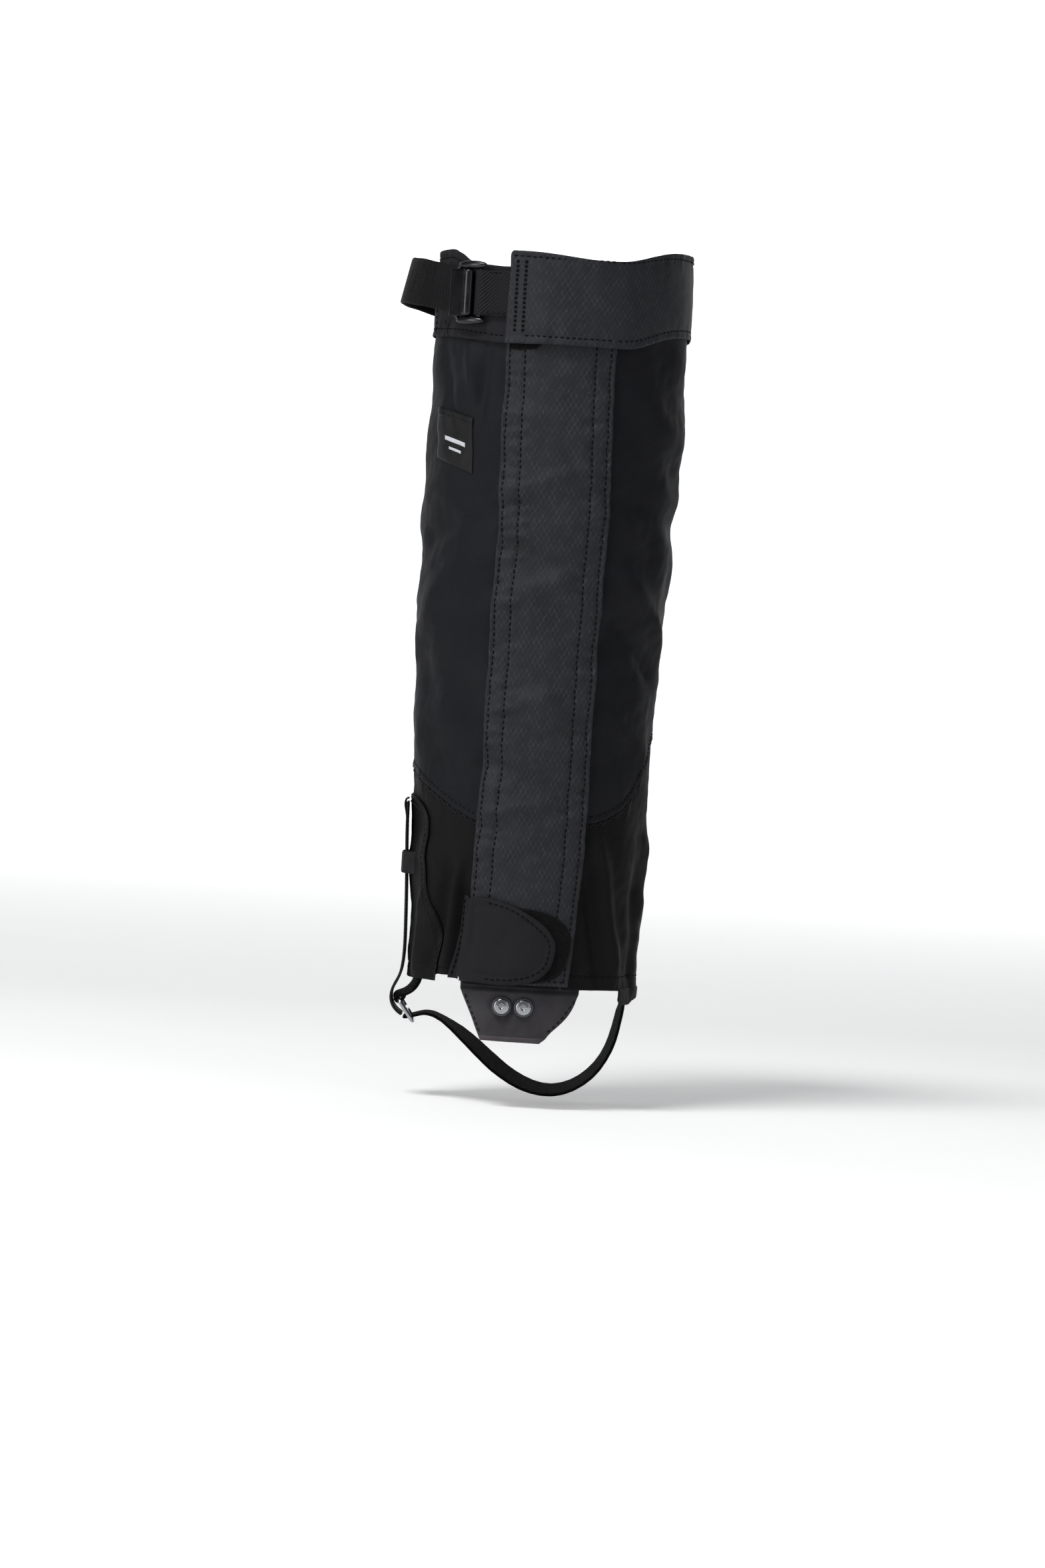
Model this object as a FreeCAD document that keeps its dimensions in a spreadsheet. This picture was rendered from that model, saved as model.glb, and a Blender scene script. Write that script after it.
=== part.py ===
"""A knee-high gaiter for the right leg, in millimetres.

The shell is a slightly oval tube. The front faces -Y, the wearer's outer side is -X, +Z is up, and the origin
is the centre of the opening that goes over the boot. Every cloth piece is a layer of that tube, cut to its own
outline; straps are flat webbing on their own routes; buckles, hook and rivets are metal.
"""

import FreeCAD
import Part
import math
import os
import Sketcher
from FreeCAD import Placement, Rotation, Vector

doc = FreeCAD.newDocument("gaiter")

# ------------------------------------------------------------------ driving dimensions

DIMENSIONS = [
    # the tube: height, half width, half depth and sideways shift of each station
    ("boot_height", -45.0, "station below the hem"),
    ("boot_half_width", 61.0, ""),
    ("boot_half_depth", 56.0, ""),
    ("boot_shift", 0.4, ""),
    ("ankle_height", 60.0, "station at the ankle"),
    ("ankle_half_width", 63.0, ""),
    ("ankle_half_depth", 57.5, ""),
    ("ankle_shift", -1.2, ""),
    ("calf_height", 205.0, "station at the calf"),
    ("calf_half_width", 67.3, ""),
    ("calf_half_depth", 60.0, ""),
    ("calf_shift", -2.4, ""),
    ("collar_height", 344.0, "lower edge of the collar"),
    ("collar_half_width", 68.4, ""),
    ("collar_half_depth", 61.0, ""),
    ("collar_shift", -0.2, ""),
    ("crown_height", 412.0, "station above the rim"),
    ("crown_half_width", 66.4, ""),
    ("crown_half_depth", 59.5, ""),
    ("crown_shift", 0.0, ""),
    # how far each cloth layer lies outside the shell's outer face
    ("facing_face", -2.0, "inner face of the hem binding"),
    ("shell_inside", -1.0, "inner face of the shell cloth"),
    ("shell_outside", 0.0, "outer face of the shell cloth"),
    ("label_outside", 0.5, "woven label"),
    ("patch_outside", 0.8, "ankle patch"),
    ("tape_outside", 1.0, "loop tape on the underlap"),
    ("band_outside", 1.4, "collar band"),
    ("hook_inside", 1.4, "hook tape behind the storm flap"),
    ("flap_inside", 2.2, "storm flap"),
    ("flap_outside", 3.4, "storm flap"),
    ("twill_inside", 3.7, "twill strap under the collar flap"),
    ("pile_outside", 4.0, "loop patches on the storm flap"),
    ("counter_inside", 4.3, "hook patches that face them"),
    ("cover_inside", 4.9, "collar flap and closure tab"),
    ("cover_outside", 6.1, "collar flap and closure tab"),
    # outlines in the front view
    ("rim_height", 391.0, "top edge at the front"),
    ("rim_back_height", 379.0, "top edge at the back"),
    ("seam_side_height", 114.0, "seam between upper and lower cloth, outer side"),
    ("seam_front_height", 88.0, "the same seam at the storm flap"),
    ("seam_inner_height", 136.0, "the same seam, inner side"),
    ("flap_half_width", 29.5, "storm flap"),
    ("flap_foot_shift", -5.3, "how far the flap's foot lies towards the outer side"),
    ("flap_top", 384.0, "top of the storm flap, under the collar flap"),
    ("flap_bottom", 1.6, "foot of the storm flap"),
    ("hinge_inset", 2.6, "from the flap's edge to the seam it turns on"),
    ("underlap_edge", 21.0, "free edge of the outer cloth under the flap"),
    ("opening_gap", 1.5, "between that edge and the inner cloth"),
    ("tape_width", 38.0, "hook and loop tape"),
    ("collar_flap_edge", -30.0, "free edge of the collar flap"),
    ("collar_flap_top", 393.5, ""),
    # webbing and hardware
    ("webbing_width", 25.0, "all webbing"),
    ("webbing_gauge", 1.5, "its thickness"),
    ("upper_strap_height", 370.0, "middle of the collar strap"),
    ("buckle_rod_radius", 1.5, "rods of both buckles"),
    ("upper_buckle_height", 33.0, "oval frame, across the webbing"),
    ("upper_buckle_length", 22.5, "oval frame, along the webbing"),
    ("upper_buckle_gauge", 2.6, "oval frame, thickness"),
    ("lower_buckle_height", 31.0, "lower frame, across the webbing"),
    ("lower_buckle_length", 17.0, "lower frame, along the webbing"),
    ("rivet_head_diameter", 9.5, ""),
    ("rivet_shank_diameter", 4.0, ""),
    ("rivet_spacing", 12.0, ""),
    ("rivet_drop", 11.7, "rivets below the hem"),
    ("rivet_shift", -5.2, "middle of the two rivets"),
    ("tab_drop", 30.5, "foot of the lace hook tab below the hem"),
    ("tail_top", 95.0, "end of the strap tail"),
    ("keeper_height", 62.0, "middle of the tail's keeper"),
]
STATIONS = ("boot", "ankle", "calf", "collar", "crown")
OUT = 130.0  # past the tube on every side

sheet = doc.addObject("Spreadsheet::Sheet", "Dims")
for row, (alias, value, meaning) in enumerate(DIMENSIONS, start=1):
    sheet.set(f"A{row}", meaning or alias)
    sheet.set(f"B{row}", str(value))
    sheet.setAlias(f"B{row}", alias)
doc.recompute()


def size(alias):
    return float(sheet.get(alias))


# ------------------------------------------------------------------ the tube

FRONT_VIEW = Rotation(Vector(1, 0, 0), Vector(0, 0, 1), Vector(0, -1, 0), "XYZ")
SIDE_VIEW = Rotation(Vector(0, 1, 0), Vector(0, 0, 1), Vector(1, 0, 0), "XYZ")
TOP_VIEW = Rotation()
tubes = {}


def tube(face):
    """The solid inside the tube surface that lies at the offset with this alias."""
    if face not in tubes:
        rings = []
        for station in STATIONS:
            ring = doc.addObject("Part::Ellipse", f"ring_{station}_{face}")
            ring.setExpression("MajorRadius", f"Dims.{station}_half_width + Dims.{face}")
            ring.setExpression("MinorRadius", f"Dims.{station}_half_depth + Dims.{face}")
            ring.setExpression("Placement.Base.x", f"Dims.{station}_shift")
            ring.setExpression("Placement.Base.z", f"Dims.{station}_height")
            rings.append(ring)
        loft = doc.addObject("Part::Loft", f"tube_{face}")
        loft.Sections = rings
        loft.Solid = True
        tubes[face] = loft
    return tubes[face]


def layer(name, inside, outside):
    """The tube wall between two offsets."""
    wall = doc.addObject("Part::Cut", f"{name}_layer")
    wall.Base = tube(outside)
    wall.Tool = tube(inside)
    return wall


def between(alias, height):
    """A station value at any height, straight between the stations."""
    for low, high in zip(STATIONS, STATIONS[1:]):
        z0, z1 = size(f"{low}_height"), size(f"{high}_height")
        if height <= z1:
            break
    share = (height - z0) / (z1 - z0)
    return size(f"{low}_{alias}") * (1 - share) + size(f"{high}_{alias}") * share


def front_point(x, height, offset):
    """The point of the tube's front at x, at this height and offset."""
    wide = between("half_width", height) + offset
    deep = between("half_depth", height) + offset
    across = (x - between("shift", height)) / wide
    return Vector(x, -deep * math.sqrt(1 - across**2), height)


# ------------------------------------------------------------------ outlines and cloth


def curve(points):
    if len(points) == 2:
        return Part.LineSegment(*points)
    spline = Part.BSplineCurve()
    spline.interpolate(points)
    return spline


def draw(sketch, runs):
    """Fills a sketch with runs of points that join end to end; three points or more make a smooth curve."""
    ends = []
    for run, following in zip(runs, runs[1:] + runs[:1]):
        points = [Vector(x, y, 0) for x, y in run]
        ends.append(points[-1])
        sketch.addGeometry(curve(points), False)
        start = Vector(*following[0], 0)
        if (start - points[-1]).Length > 0.01:
            sketch.addGeometry(Part.LineSegment(points[-1], start), False)
    for index in range(len(sketch.Geometry)):
        sketch.addConstraint(Sketcher.Constraint("Block", index))


def prism(name, runs, view=FRONT_VIEW, near=OUT, far=0.0):
    """A prism on an outline, from far behind its plane to near in front of it."""
    sketch = doc.addObject("Sketcher::SketchObject", f"{name}_outline")
    sketch.Placement = Placement(Vector(), view)
    draw(sketch, runs)
    solid = doc.addObject("Part::Extrusion", f"{name}_prism")
    solid.Base = sketch
    solid.DirMode = "Normal"
    solid.LengthFwd = near
    solid.LengthRev = far
    solid.Solid = True
    return solid


parts = []


def keep(feature, label):
    feature.Label = label
    parts.append(feature)
    return feature


def cloth(label, inside, outside, *prisms):
    """A piece of one cloth layer inside every one of the prisms."""
    piece = doc.addObject("Part::MultiCommon", f"{label}_cloth")
    piece.Shapes = [layer(label, inside, outside), *prisms]
    return keep(piece, label)


def joined(name, shapes):
    whole = doc.addObject("Part::MultiFuse", name)
    whole.Shapes = shapes
    return whole


rim = size("rim_height")
rim_back = size("rim_back_height")
flap_half = size("flap_half_width")
foot_shift = size("flap_foot_shift")
flap_top = size("flap_top")
flap_bottom = size("flap_bottom")
taper_start = 120.0  # below this height the storm flap leans to the outer side
taper_shape = 0.25  # share of the lean that is reached half way down


def lean(height):
    """How far the storm flap's edges lie to the outer side at this height."""
    if height >= taper_start:
        return 0.0
    depth = (taper_start - height) / (taper_start - flap_bottom)
    return foot_shift * depth ** (-math.log(taper_shape) / math.log(2))


def flap_edge(x, heights):
    return [(x + lean(height), height) for height in heights]


def strip(name, left, right, bottom, top):
    """An upright strip of the storm flap between two lines parallel to its edges."""
    levels = [taper_start, taper_start * 0.72, taper_start * 0.4, bottom]
    upward = [level for level in reversed(levels)]
    runs = [
        [(left, top), (left, taper_start)],
        flap_edge(left, levels),
        flap_edge(right, upward),
        [(right, taper_start), (right, top)],
    ]
    return prism(name, runs)


# the shell: two halves that meet at the back, each cut into an upper and a lower cloth
underlap = size("underlap_edge")
inner_edge = underlap + size("opening_gap")
outer_half = prism(
    "outer_half",
    [[(0, OUT), (-OUT, OUT)], [(-OUT, -OUT), (underlap, -OUT)], [(underlap, 0), (0, 0)]],
    TOP_VIEW, near=2 * OUT + rim, far=OUT,
)
inner_half = prism(
    "inner_half",
    [[(0, 0), (inner_edge, 0)], [(inner_edge, -OUT), (OUT, -OUT)], [(OUT, OUT), (0, OUT)]],
    TOP_VIEW, near=2 * OUT + rim, far=OUT,
)
seam_side = size("seam_side_height")
seam_front = size("seam_front_height")
seam_inner = size("seam_inner_height")
front_seam = [
    (-OUT, seam_side + 20), (-66.0, seam_side - 1), (-50.0, seam_front + 11), (-flap_half, seam_front),
    (0, seam_front - 4), (flap_half, seam_front + 2), (50.0, seam_front + 14), (57.5, seam_inner - 18),
    (62.3, seam_inner), (OUT, seam_inner + 120),
]
back_seam = [(-OUT, seam_side - 10), (OUT, seam_inner + 12)]


def lower_region(name):
    front = prism(f"{name}_front", [front_seam, [(OUT, 0), (-OUT, 0)]], near=OUT)
    back = prism(f"{name}_back", [back_seam, [(OUT, 0), (-OUT, 0)]], near=0.0, far=OUT)
    return joined(name, [front, back])


def upper_region(name):
    front = prism(f"{name}_front", [front_seam, [(OUT, rim + OUT), (-OUT, rim + OUT)]], near=OUT)
    back = prism(f"{name}_back", [back_seam, [(OUT, rim + OUT), (-OUT, rim + OUT)]], near=0.0, far=OUT)
    return joined(name, [front, back])


def under_rim(name, front_rise=0.0):
    """Everything below the rim, which sinks from the sides to the back."""
    runs = [
        [(-OUT, rim + front_rise), (0, rim + front_rise)],
        [(0, rim + front_rise), (28, rim - 4), (52, rim_back), (OUT, rim_back - 3)],
        [(OUT, -OUT), (-OUT, -OUT)],
    ]
    return prism(name, runs, SIDE_VIEW, near=OUT, far=OUT)


rim_limit = under_rim("rim_limit")
upper = upper_region("upper_region")
lower = lower_region("lower_region")
cloth("upper_left_panel", "shell_inside", "shell_outside", outer_half, upper, rim_limit)
cloth("upper_right_panel", "shell_inside", "shell_outside", inner_half, upper, rim_limit)
cloth("lower_left_panel", "shell_inside", "shell_outside", outer_half, lower)
cloth("lower_right_panel", "shell_inside", "shell_outside", inner_half, lower)

# hem binding: a folded tape inside the lower edge, open at the front like the shell
binding_top = 11.0
binding_zone = prism(
    "binding_zone",
    [[(-OUT, 0), (-OUT, binding_top)], [(OUT, binding_top), (OUT, 0)]],
    near=OUT, far=OUT,
)
binding_side = prism(
    "binding_side",
    [[(underlap, -OUT), (underlap, 0)], [(OUT, 0), (OUT, OUT)], [(-OUT, OUT), (-OUT, -OUT)]],
    TOP_VIEW, near=OUT, far=OUT,
)
cloth("hem_binding", "facing_face", "shell_inside", binding_zone, binding_side)

# collar bands: outer side with the back, and inner side, which rises a little towards the rim
band_low = size("collar_height")
left_band_zone = prism(
    "left_band_zone",
    [
        [(-OUT, rim + OUT), (-OUT, band_low + 6)],
        [(-OUT, band_low + 6), (-64, band_low + 3), (-28, band_low - 0.5)],
        [(-28, rim - 3.5), (-44, rim - 3.5), (-58, rim + 1), (-72, rim + 2)],
    ],
    near=OUT, far=0.0,
)
left_band_back = prism(
    "left_band_back",
    [[(-OUT, band_low + 4), (8, band_low + 4)], [(8, rim + OUT), (-OUT, rim + OUT)]],
    near=0.0, far=OUT,
)
cloth(
    "collar_left_band", "shell_outside", "band_outside",
    joined("left_band_region", [left_band_zone, left_band_back]), under_rim("left_band_limit", 2.0),
)
right_band_zone = prism(
    "right_band_zone",
    [
        [(flap_half, band_low), (45, band_low + 2), (67, band_low + 10), (OUT, band_low + 30)],
        [(OUT, rim + 30), (60, rim + 8.5), (flap_half, rim + 2.5)],
    ],
    near=OUT, far=0.0,
)
right_band_back = prism(
    "right_band_back",
    [[(8.3, band_low + 4), (60, band_low + 9), (OUT, band_low + 12)], [(OUT, rim + OUT), (8.3, rim + OUT)]],
    near=0.0, far=OUT,
)
right_band_limit = prism(
    "right_band_limit",
    [
        [(-OUT, rim + 9), (0, rim + 9)],
        [(0, rim + 9), (24, rim - 1), (52, rim_back), (OUT, rim_back - 3)],
        [(OUT, -OUT), (-OUT, -OUT)],
    ],
    SIDE_VIEW, near=OUT, far=OUT,
)
cloth(
    "collar_right_band", "shell_outside", "band_outside",
    joined("right_band_region", [right_band_zone, right_band_back]), right_band_limit,
)

# ankle patch: coated cloth over the outer side, from a curved front edge to past the side
patch_front = [
    (-80, 119), (-66, 99), (-58, 90), (-55.9, 80), (-56.4, 62), (-51, 39), (-47, 0),
]
patch_zone = prism("patch_zone", [patch_front, [(-OUT, 0), (-OUT, 119)]], near=OUT, far=33.0)
cloth("ankle_patch", "shell_outside", "patch_outside", patch_zone)

# woven label on the outer side
label_zone = prism(
    "label_zone", [[(-64.6, 309), (-45.4, 303)], [(-45.0, 273), (-63.6, 281.5)]], near=OUT
)
cloth("woven_label", "shell_outside", "label_outside", label_zone)

# ------------------------------------------------------------------ front closure

half_tape = size("tape_width") / 2
hinge_line = flap_half - size("hinge_inset")
hinge_gap = 0.5
tape_top = flap_top - 5
tape_bottom = flap_bottom + 3
cloth("front_loop_tape", "shell_outside", "tape_outside",
      strip("loop_strip", -half_tape, half_tape, tape_bottom, tape_top))
cloth("flap_hook_tape", "hook_inside", "flap_inside",
      strip("hook_strip", -half_tape, half_tape, tape_bottom, tape_top))
cloth("storm_flap", "flap_inside", "flap_outside",
      strip("flap_strip", -flap_half, hinge_line, flap_bottom, flap_top))
cloth("flap_sewn_edge", "shell_outside", "flap_outside",
      strip("sewn_strip", hinge_line + hinge_gap, flap_half, flap_bottom, band_low - 1))

# the D-shaped tab that locks the flap's foot, and the pile patch it presses on
tab_top, tab_low = 47.5, 2.4
tab_edge_top = -flap_half + lean(tab_top) - 0.5
tab_edge_low = -flap_half + lean(tab_low) - 0.5
tab_round = [
    (-16, 46.4), (3.0, 38.8), (13.6, 30.5), (16.8, 21.5), (13.6, 9.8), (3.0, 2.6), (-10, 0.8),
]
tab_zone = prism("tab_zone", [[(tab_edge_top, tab_top), *tab_round, (tab_edge_low, tab_low)]])
cloth("closure_tab", "cover_inside", "cover_outside", tab_zone)
tab_hook_zone = prism(
    "tab_hook_zone",
    [[(-22, 42), (-4, 38.8), (8.5, 30), (11.8, 21.5), (8, 11), (-4, 5.4), (-22, 5)], [(-22, 5), (-22, 42)]],
)
cloth("closure_tab_hook", "counter_inside", "cover_inside", tab_hook_zone)
pile_zone = prism(
    "pile_zone",
    [
        [(-28, 43.5), (-5, 43.2), (14, 38.6), (22.8, 30), (hinge_line - 5.6, 19), (19, 8), (4, 2.2), (-28, 2.2)],
        [(-28, 2.2), (-28, 43.5)],
    ],
)
cloth("closure_loop_patch", "flap_outside", "pile_outside", pile_zone)
base_width = 5.5
base_gap = 0.6
base_zone = prism(
    "base_zone",
    [
        [(tab_edge_top - base_gap, tab_top), (tab_edge_low - base_gap, tab_low)],
        [(tab_edge_low - base_width, tab_low), (tab_edge_top - base_width, tab_top)],
    ],
)
cloth("closure_tab_base", "shell_outside", "cover_outside", base_zone)

# ------------------------------------------------------------------ collar closure

flap_free = size("collar_flap_edge")
collar_top = size("collar_flap_top")
collar_zone = prism(
    "collar_zone",
    [
        [(flap_free, collar_top - 3), (flap_free + 0.8, collar_top - 0.8), (flap_free + 3, collar_top)],
        [(flap_free + 3, collar_top), (0, collar_top - 0.6), (hinge_line, collar_top)],
        [(hinge_line, band_low), (0, band_low - 0.4), (flap_free - 0.6, band_low - 0.4)],
    ],
)
cloth("collar_flap", "cover_inside", "cover_outside", collar_zone)
collar_patch_low, collar_patch_top = band_low - 3.5, band_low + 8
collar_pile_zone = prism(
    "collar_pile_zone",
    [[(-27.5, collar_patch_low), (-10, collar_patch_low)], [(-10, collar_patch_top), (-27.5, collar_patch_top)]],
)
cloth("collar_loop_patch", "flap_outside", "pile_outside", collar_pile_zone)
collar_hook_zone = prism(
    "collar_hook_zone",
    [[(-27, band_low + 1), (-9, band_low + 1)], [(-9, collar_patch_top - 0.5), (-27, collar_patch_top - 0.5)]],
)
cloth("collar_hook_patch", "counter_inside", "cover_inside", collar_hook_zone)

# the oval buckle turns on a rod in a loop of the twill strap; u runs along the strap, towards the front
strap_mid = size("upper_strap_height")
width = size("webbing_width")
gauge = size("webbing_gauge")
rod_radius = size("buckle_rod_radius")
rod_offset = 5.1
end_offset = 8.0
rod_x, frame_end_x = -45.3, -61.6
rod_point = front_point(rod_x, strap_mid, rod_offset)
frame_end = front_point(frame_end_x, strap_mid, end_offset)
along = (rod_point - frame_end).normalize()
outward = Vector(along.y, -along.x, 0)
upper_turn = Rotation(along, Vector(0, 0, 1), outward, "ZXY")
upper_place = Placement(rod_point, upper_turn)

loop_clearance = 0.3
loop_wall = 1.1
twill_zone = prism(
    "twill_zone",
    [
        [(rod_x, strap_mid - width / 2), (-12, strap_mid - width / 2)],
        [(-12, strap_mid + width / 2), (rod_x, strap_mid + width / 2)],
    ],
)
twill_band = doc.addObject("Part::MultiCommon", "twill_band")
twill_band.Shapes = [layer("twill", "twill_inside", "cover_inside"), twill_zone]


def upright_rod(name, radius, height, place):
    rod = doc.addObject("Part::Cylinder", name)
    rod.Radius = radius
    rod.Height = height
    rod.Placement = place
    return rod


loop_radius = rod_radius + loop_clearance + loop_wall
loop_base = Placement(rod_point - Vector(0, 0, width / 2), Rotation())
loop_skin = upright_rod("twill_loop_skin", loop_radius, width, loop_base)
loop_core = upright_rod("twill_loop_core", rod_radius + loop_clearance, width, loop_base)
twill_whole = joined("twill_whole", [twill_band, loop_skin])
twill_strap = doc.addObject("Part::Cut", "collar_twill")
twill_strap.Base = twill_whole
twill_strap.Tool = loop_core
keep(twill_strap, "collar_twill_strap")


def plane_of(body, role):
    return next(item for item in body.Origin.OriginFeatures if item.Role == role)


def new_sketch(body, name, role, runs, offset=None):
    sketch = body.newObject("Sketcher::SketchObject", name)
    sketch.AttachmentSupport = [(plane_of(body, role), "")]
    sketch.MapMode = "FlatFace"
    if offset:
        sketch.AttachmentOffset = Placement(Vector(0, 0, offset), Rotation())
    draw(sketch, runs)
    return sketch


def pad(body, name, sketch, length, both_ways=True):
    feature = body.newObject("PartDesign::Pad", name)
    feature.Profile = sketch
    feature.Length = length
    feature.Midplane = both_ways
    return feature


def rectangle(left, right, bottom, top):
    return [[(left, bottom), (right, bottom)], [(right, top), (left, top)]]


def arc_run(centre, radius, start, end, steps=6):
    """Points of a round stretch, by angle in degrees."""
    angles = [start + (end - start) * step / steps for step in range(steps + 1)]
    return [
        (centre[0] + radius * math.cos(math.radians(a)), centre[1] + radius * math.sin(math.radians(a)))
        for a in angles
    ]


# frame: a flat ring with domed cheeks, its rod at u = 0
frame_length = size("upper_buckle_length")
frame_height = size("upper_buckle_height")
frame_gauge = size("upper_buckle_gauge")
frame_left = 2.0 - frame_length
cheek_inner = width / 2 + 0.8
shoulder = frame_height / 2 - 3.2
frame_middle = frame_left / 2 + 1.0
frame_body = doc.addObject("PartDesign::Body", "UpperBuckleFrame")
ring_runs = [
    [(frame_left, -shoulder + 1), (frame_left + 2.2, -shoulder - 1), (frame_middle, -frame_height / 2),
     (0.4, -shoulder - 1), (2.0, -shoulder + 1.5)],
    [(2.0, shoulder - 1.5), (0.4, shoulder + 1), (frame_middle, frame_height / 2),
     (frame_left + 2.2, shoulder + 1), (frame_left, shoulder - 1)],
]
ring_sketch = new_sketch(frame_body, "RingOutline", "XY_Plane", ring_runs)
ring_pad = pad(frame_body, "Ring", ring_sketch, frame_gauge)
window_sketch = new_sketch(
    frame_body, "RingWindow", "XY_Plane", rectangle(frame_left + 4.5, 6.0, -cheek_inner, cheek_inner)
)
window = frame_body.newObject("PartDesign::Pocket", "Window")
window.Profile = window_sketch
window.Type = "ThroughAll"
window.Midplane = True
rod_sketch = new_sketch(
    frame_body, "RodOutline", "XZ_Plane", [arc_run((0, 0), rod_radius, 0, 180), arc_run((0, 0), rod_radius, 180, 360)]
)
pad(frame_body, "Rod", rod_sketch, 2 * cheek_inner + 2.4)
frame_body.Placement = upper_place
keep(frame_body, "upper_buckle_frame")

# sliding bar: a round bar in the window, with the smooth plate that hides the frame's end
bar_radius = 3.1
bar_place = -7.8
bar_lift = 1.4
bar_length = 2 * cheek_inner - 1.4
plate_gauge = 1.2
slide_body = doc.addObject("PartDesign::Body", "UpperSlideBar")
bar_sketch = new_sketch(
    slide_body, "BarOutline", "XZ_Plane",
    [arc_run((bar_place, bar_lift), bar_radius, 0, 180), arc_run((bar_place, bar_lift), bar_radius, 180, 360)],
)
pad(slide_body, "Bar", bar_sketch, bar_length)
plate_sketch = new_sketch(
    slide_body, "PlateOutline", "XZ_Plane",
    rectangle(frame_left + 0.3, bar_place, frame_gauge / 2 + 0.3, frame_gauge / 2 + 0.3 + plate_gauge),
)
pad(slide_body, "Plate", plate_sketch, width + 0.5)
slide_body.Placement = upper_place
keep(slide_body, "upper_buckle_slide_bar")

# ------------------------------------------------------------------ webbing


def ribbon_runs(points, thickness):
    """The closed outline of a ribbon of this thickness along a smooth route."""
    route = curve([Vector(x, y, 0) for x, y in points])
    count = 2 * len(points)
    sides = ([], [])
    for step in range(count + 1):
        at = route.FirstParameter + (route.LastParameter - route.FirstParameter) * step / count
        point = route.value(at)
        direction = Vector(*route.tangent(at)[0])
        normal = Vector(-direction.y, direction.x, 0) * thickness / 2
        sides[0].append((point.x + normal.x, point.y + normal.y))
        sides[1].append((point.x - normal.x, point.y - normal.y))
    return [sides[0], sides[1][::-1]], route.length()


def webbing(label, role, points, height=0.0, across=width):
    """Flat webbing that follows points in one of the origin planes, with its width square to that plane."""
    body = doc.addObject("PartDesign::Body", label.title().replace("_", ""))
    runs, length = ribbon_runs(points, gauge)
    sketch = new_sketch(body, f"{label}_route", role, runs)
    pad(body, f"{label}_ribbon", sketch, across)
    body.Placement = Placement(Vector(0, 0, height), Rotation())
    print(f"{label}: {length:.1f} mm long")
    return keep(body, label)


webbing(
    "upper_webbing", "XY_Plane",
    [(-50.0, -44.5), (-63.5, -33.0), (-77, -19), (-85.6, 0), (-83, 20), (-70, 36.5), (-53, 47.2), (-36, 54.7)],
    strap_mid,
)

# the lower buckle: s runs along the strap from its upper rod to its lower rod, in the plane y = 0
buckle_top = Vector(-67.5, 0, -11.5)
buckle_foot = Vector(-58.0, 0, -25.0)
buckle_middle = (buckle_top + buckle_foot) / 2
down = (buckle_foot - buckle_top).normalize()
outside = Vector(down.z, 0, -down.x)
lower_turn = Rotation(down, Vector(0, 1, 0), outside * -1, "XYZ")
lower_place = Placement(buckle_middle, lower_turn)
lower_length = size("lower_buckle_length")
lower_height = size("lower_buckle_height")
cheek = 2.2
ring_gauge = 2.2
corner = 3.0
half_length = lower_length / 2
half_height = lower_height / 2


def rounded_runs(half_x, half_y, radius):
    """A rectangle with round corners, about the origin."""
    x, y = half_x - radius, half_y - radius
    return [
        arc_run((x, -y), radius, -90, 0),
        arc_run((x, y), radius, 0, 90),
        arc_run((-x, y), radius, 90, 180),
        arc_run((-x, -y), radius, 180, 270),
    ]


lower_frame = doc.addObject("PartDesign::Body", "LowerBuckleFrame")
lower_ring = new_sketch(lower_frame, "LowerRing", "XY_Plane", rounded_runs(half_length, half_height, corner))
pad(lower_frame, "LowerRingPad", lower_ring, ring_gauge)
lower_window = new_sketch(
    lower_frame, "LowerWindow", "XY_Plane", rounded_runs(half_length - cheek, half_height - cheek, 1.0)
)
lower_pocket = lower_frame.newObject("PartDesign::Pocket", "LowerPocket")
lower_pocket.Profile = lower_window
lower_pocket.Type = "ThroughAll"
lower_pocket.Midplane = True
lower_frame.Placement = lower_place
keep(lower_frame, "lower_buckle_frame")
lower_bar = upright_rod(
    "lower_bar", rod_radius, 2 * (half_height - cheek) - 0.6,
    Placement(
        buckle_middle + Vector(0, half_height - cheek - 0.3, 0), Rotation(Vector(1, 0, 0), 90)
    ),
)
keep(lower_bar, "lower_buckle_slide_bar")

webbing(
    "instep_strap", "XZ_Plane",
    [(54.3, -11.0), (50.4, -29), (39.5, -46.5), (20, -55.8), (-3, -50), (-24, -36), (-40, -24),
     (-52, -19.2), (-60.6, -21.2)],
)
webbing(
    "strap_tail", "XZ_Plane",
    [(-66.0, -20.2), (-70.6, -14.5), (-70.6, -8), (-67.2, -1), (-65.2, 9), (-65.1, 25), (-66.6, 60),
     (-67.8, size("tail_top"))],
)
webbing(
    "buckle_anchor_loop", "XZ_Plane",
    [(-56.6, 9.5), (-56.8, 0.5), (-59.6, -5.8), (-63.9, -9.1)],
)

# keeper: a short elastic band round the tail
keeper_mid = size("keeper_height")
keeper_tall = 12.0
keeper_wall = 1.0
keeper_x = -66.75


def block(name, x, y, z, dx, dy, dz):
    """A box by its middle and its sides."""
    box = doc.addObject("Part::Box", name)
    box.Length = dx
    box.Width = dy
    box.Height = dz
    box.Placement = Placement(Vector(x - dx / 2, y - dy / 2, z - dz / 2), Rotation())
    return box


keeper_room = gauge + 1.2
keeper_skin = block("keeper_skin", keeper_x, 0, keeper_mid, keeper_room + 2 * keeper_wall,
                    width + 1 + 2 * keeper_wall, keeper_tall)
keeper_core = block("keeper_core", keeper_x, 0, keeper_mid, keeper_room, width + 1, 2 * keeper_tall)
keeper_ring = doc.addObject("Part::Cut", "keeper_ring")
keeper_ring.Base = keeper_skin
keeper_ring.Tool = keeper_core
keeper = doc.addObject("Part::Cut", "keeper_on_shell")
keeper.Base = keeper_ring
keeper.Tool = tube("patch_outside")
keep(keeper, "tail_keeper")

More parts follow.
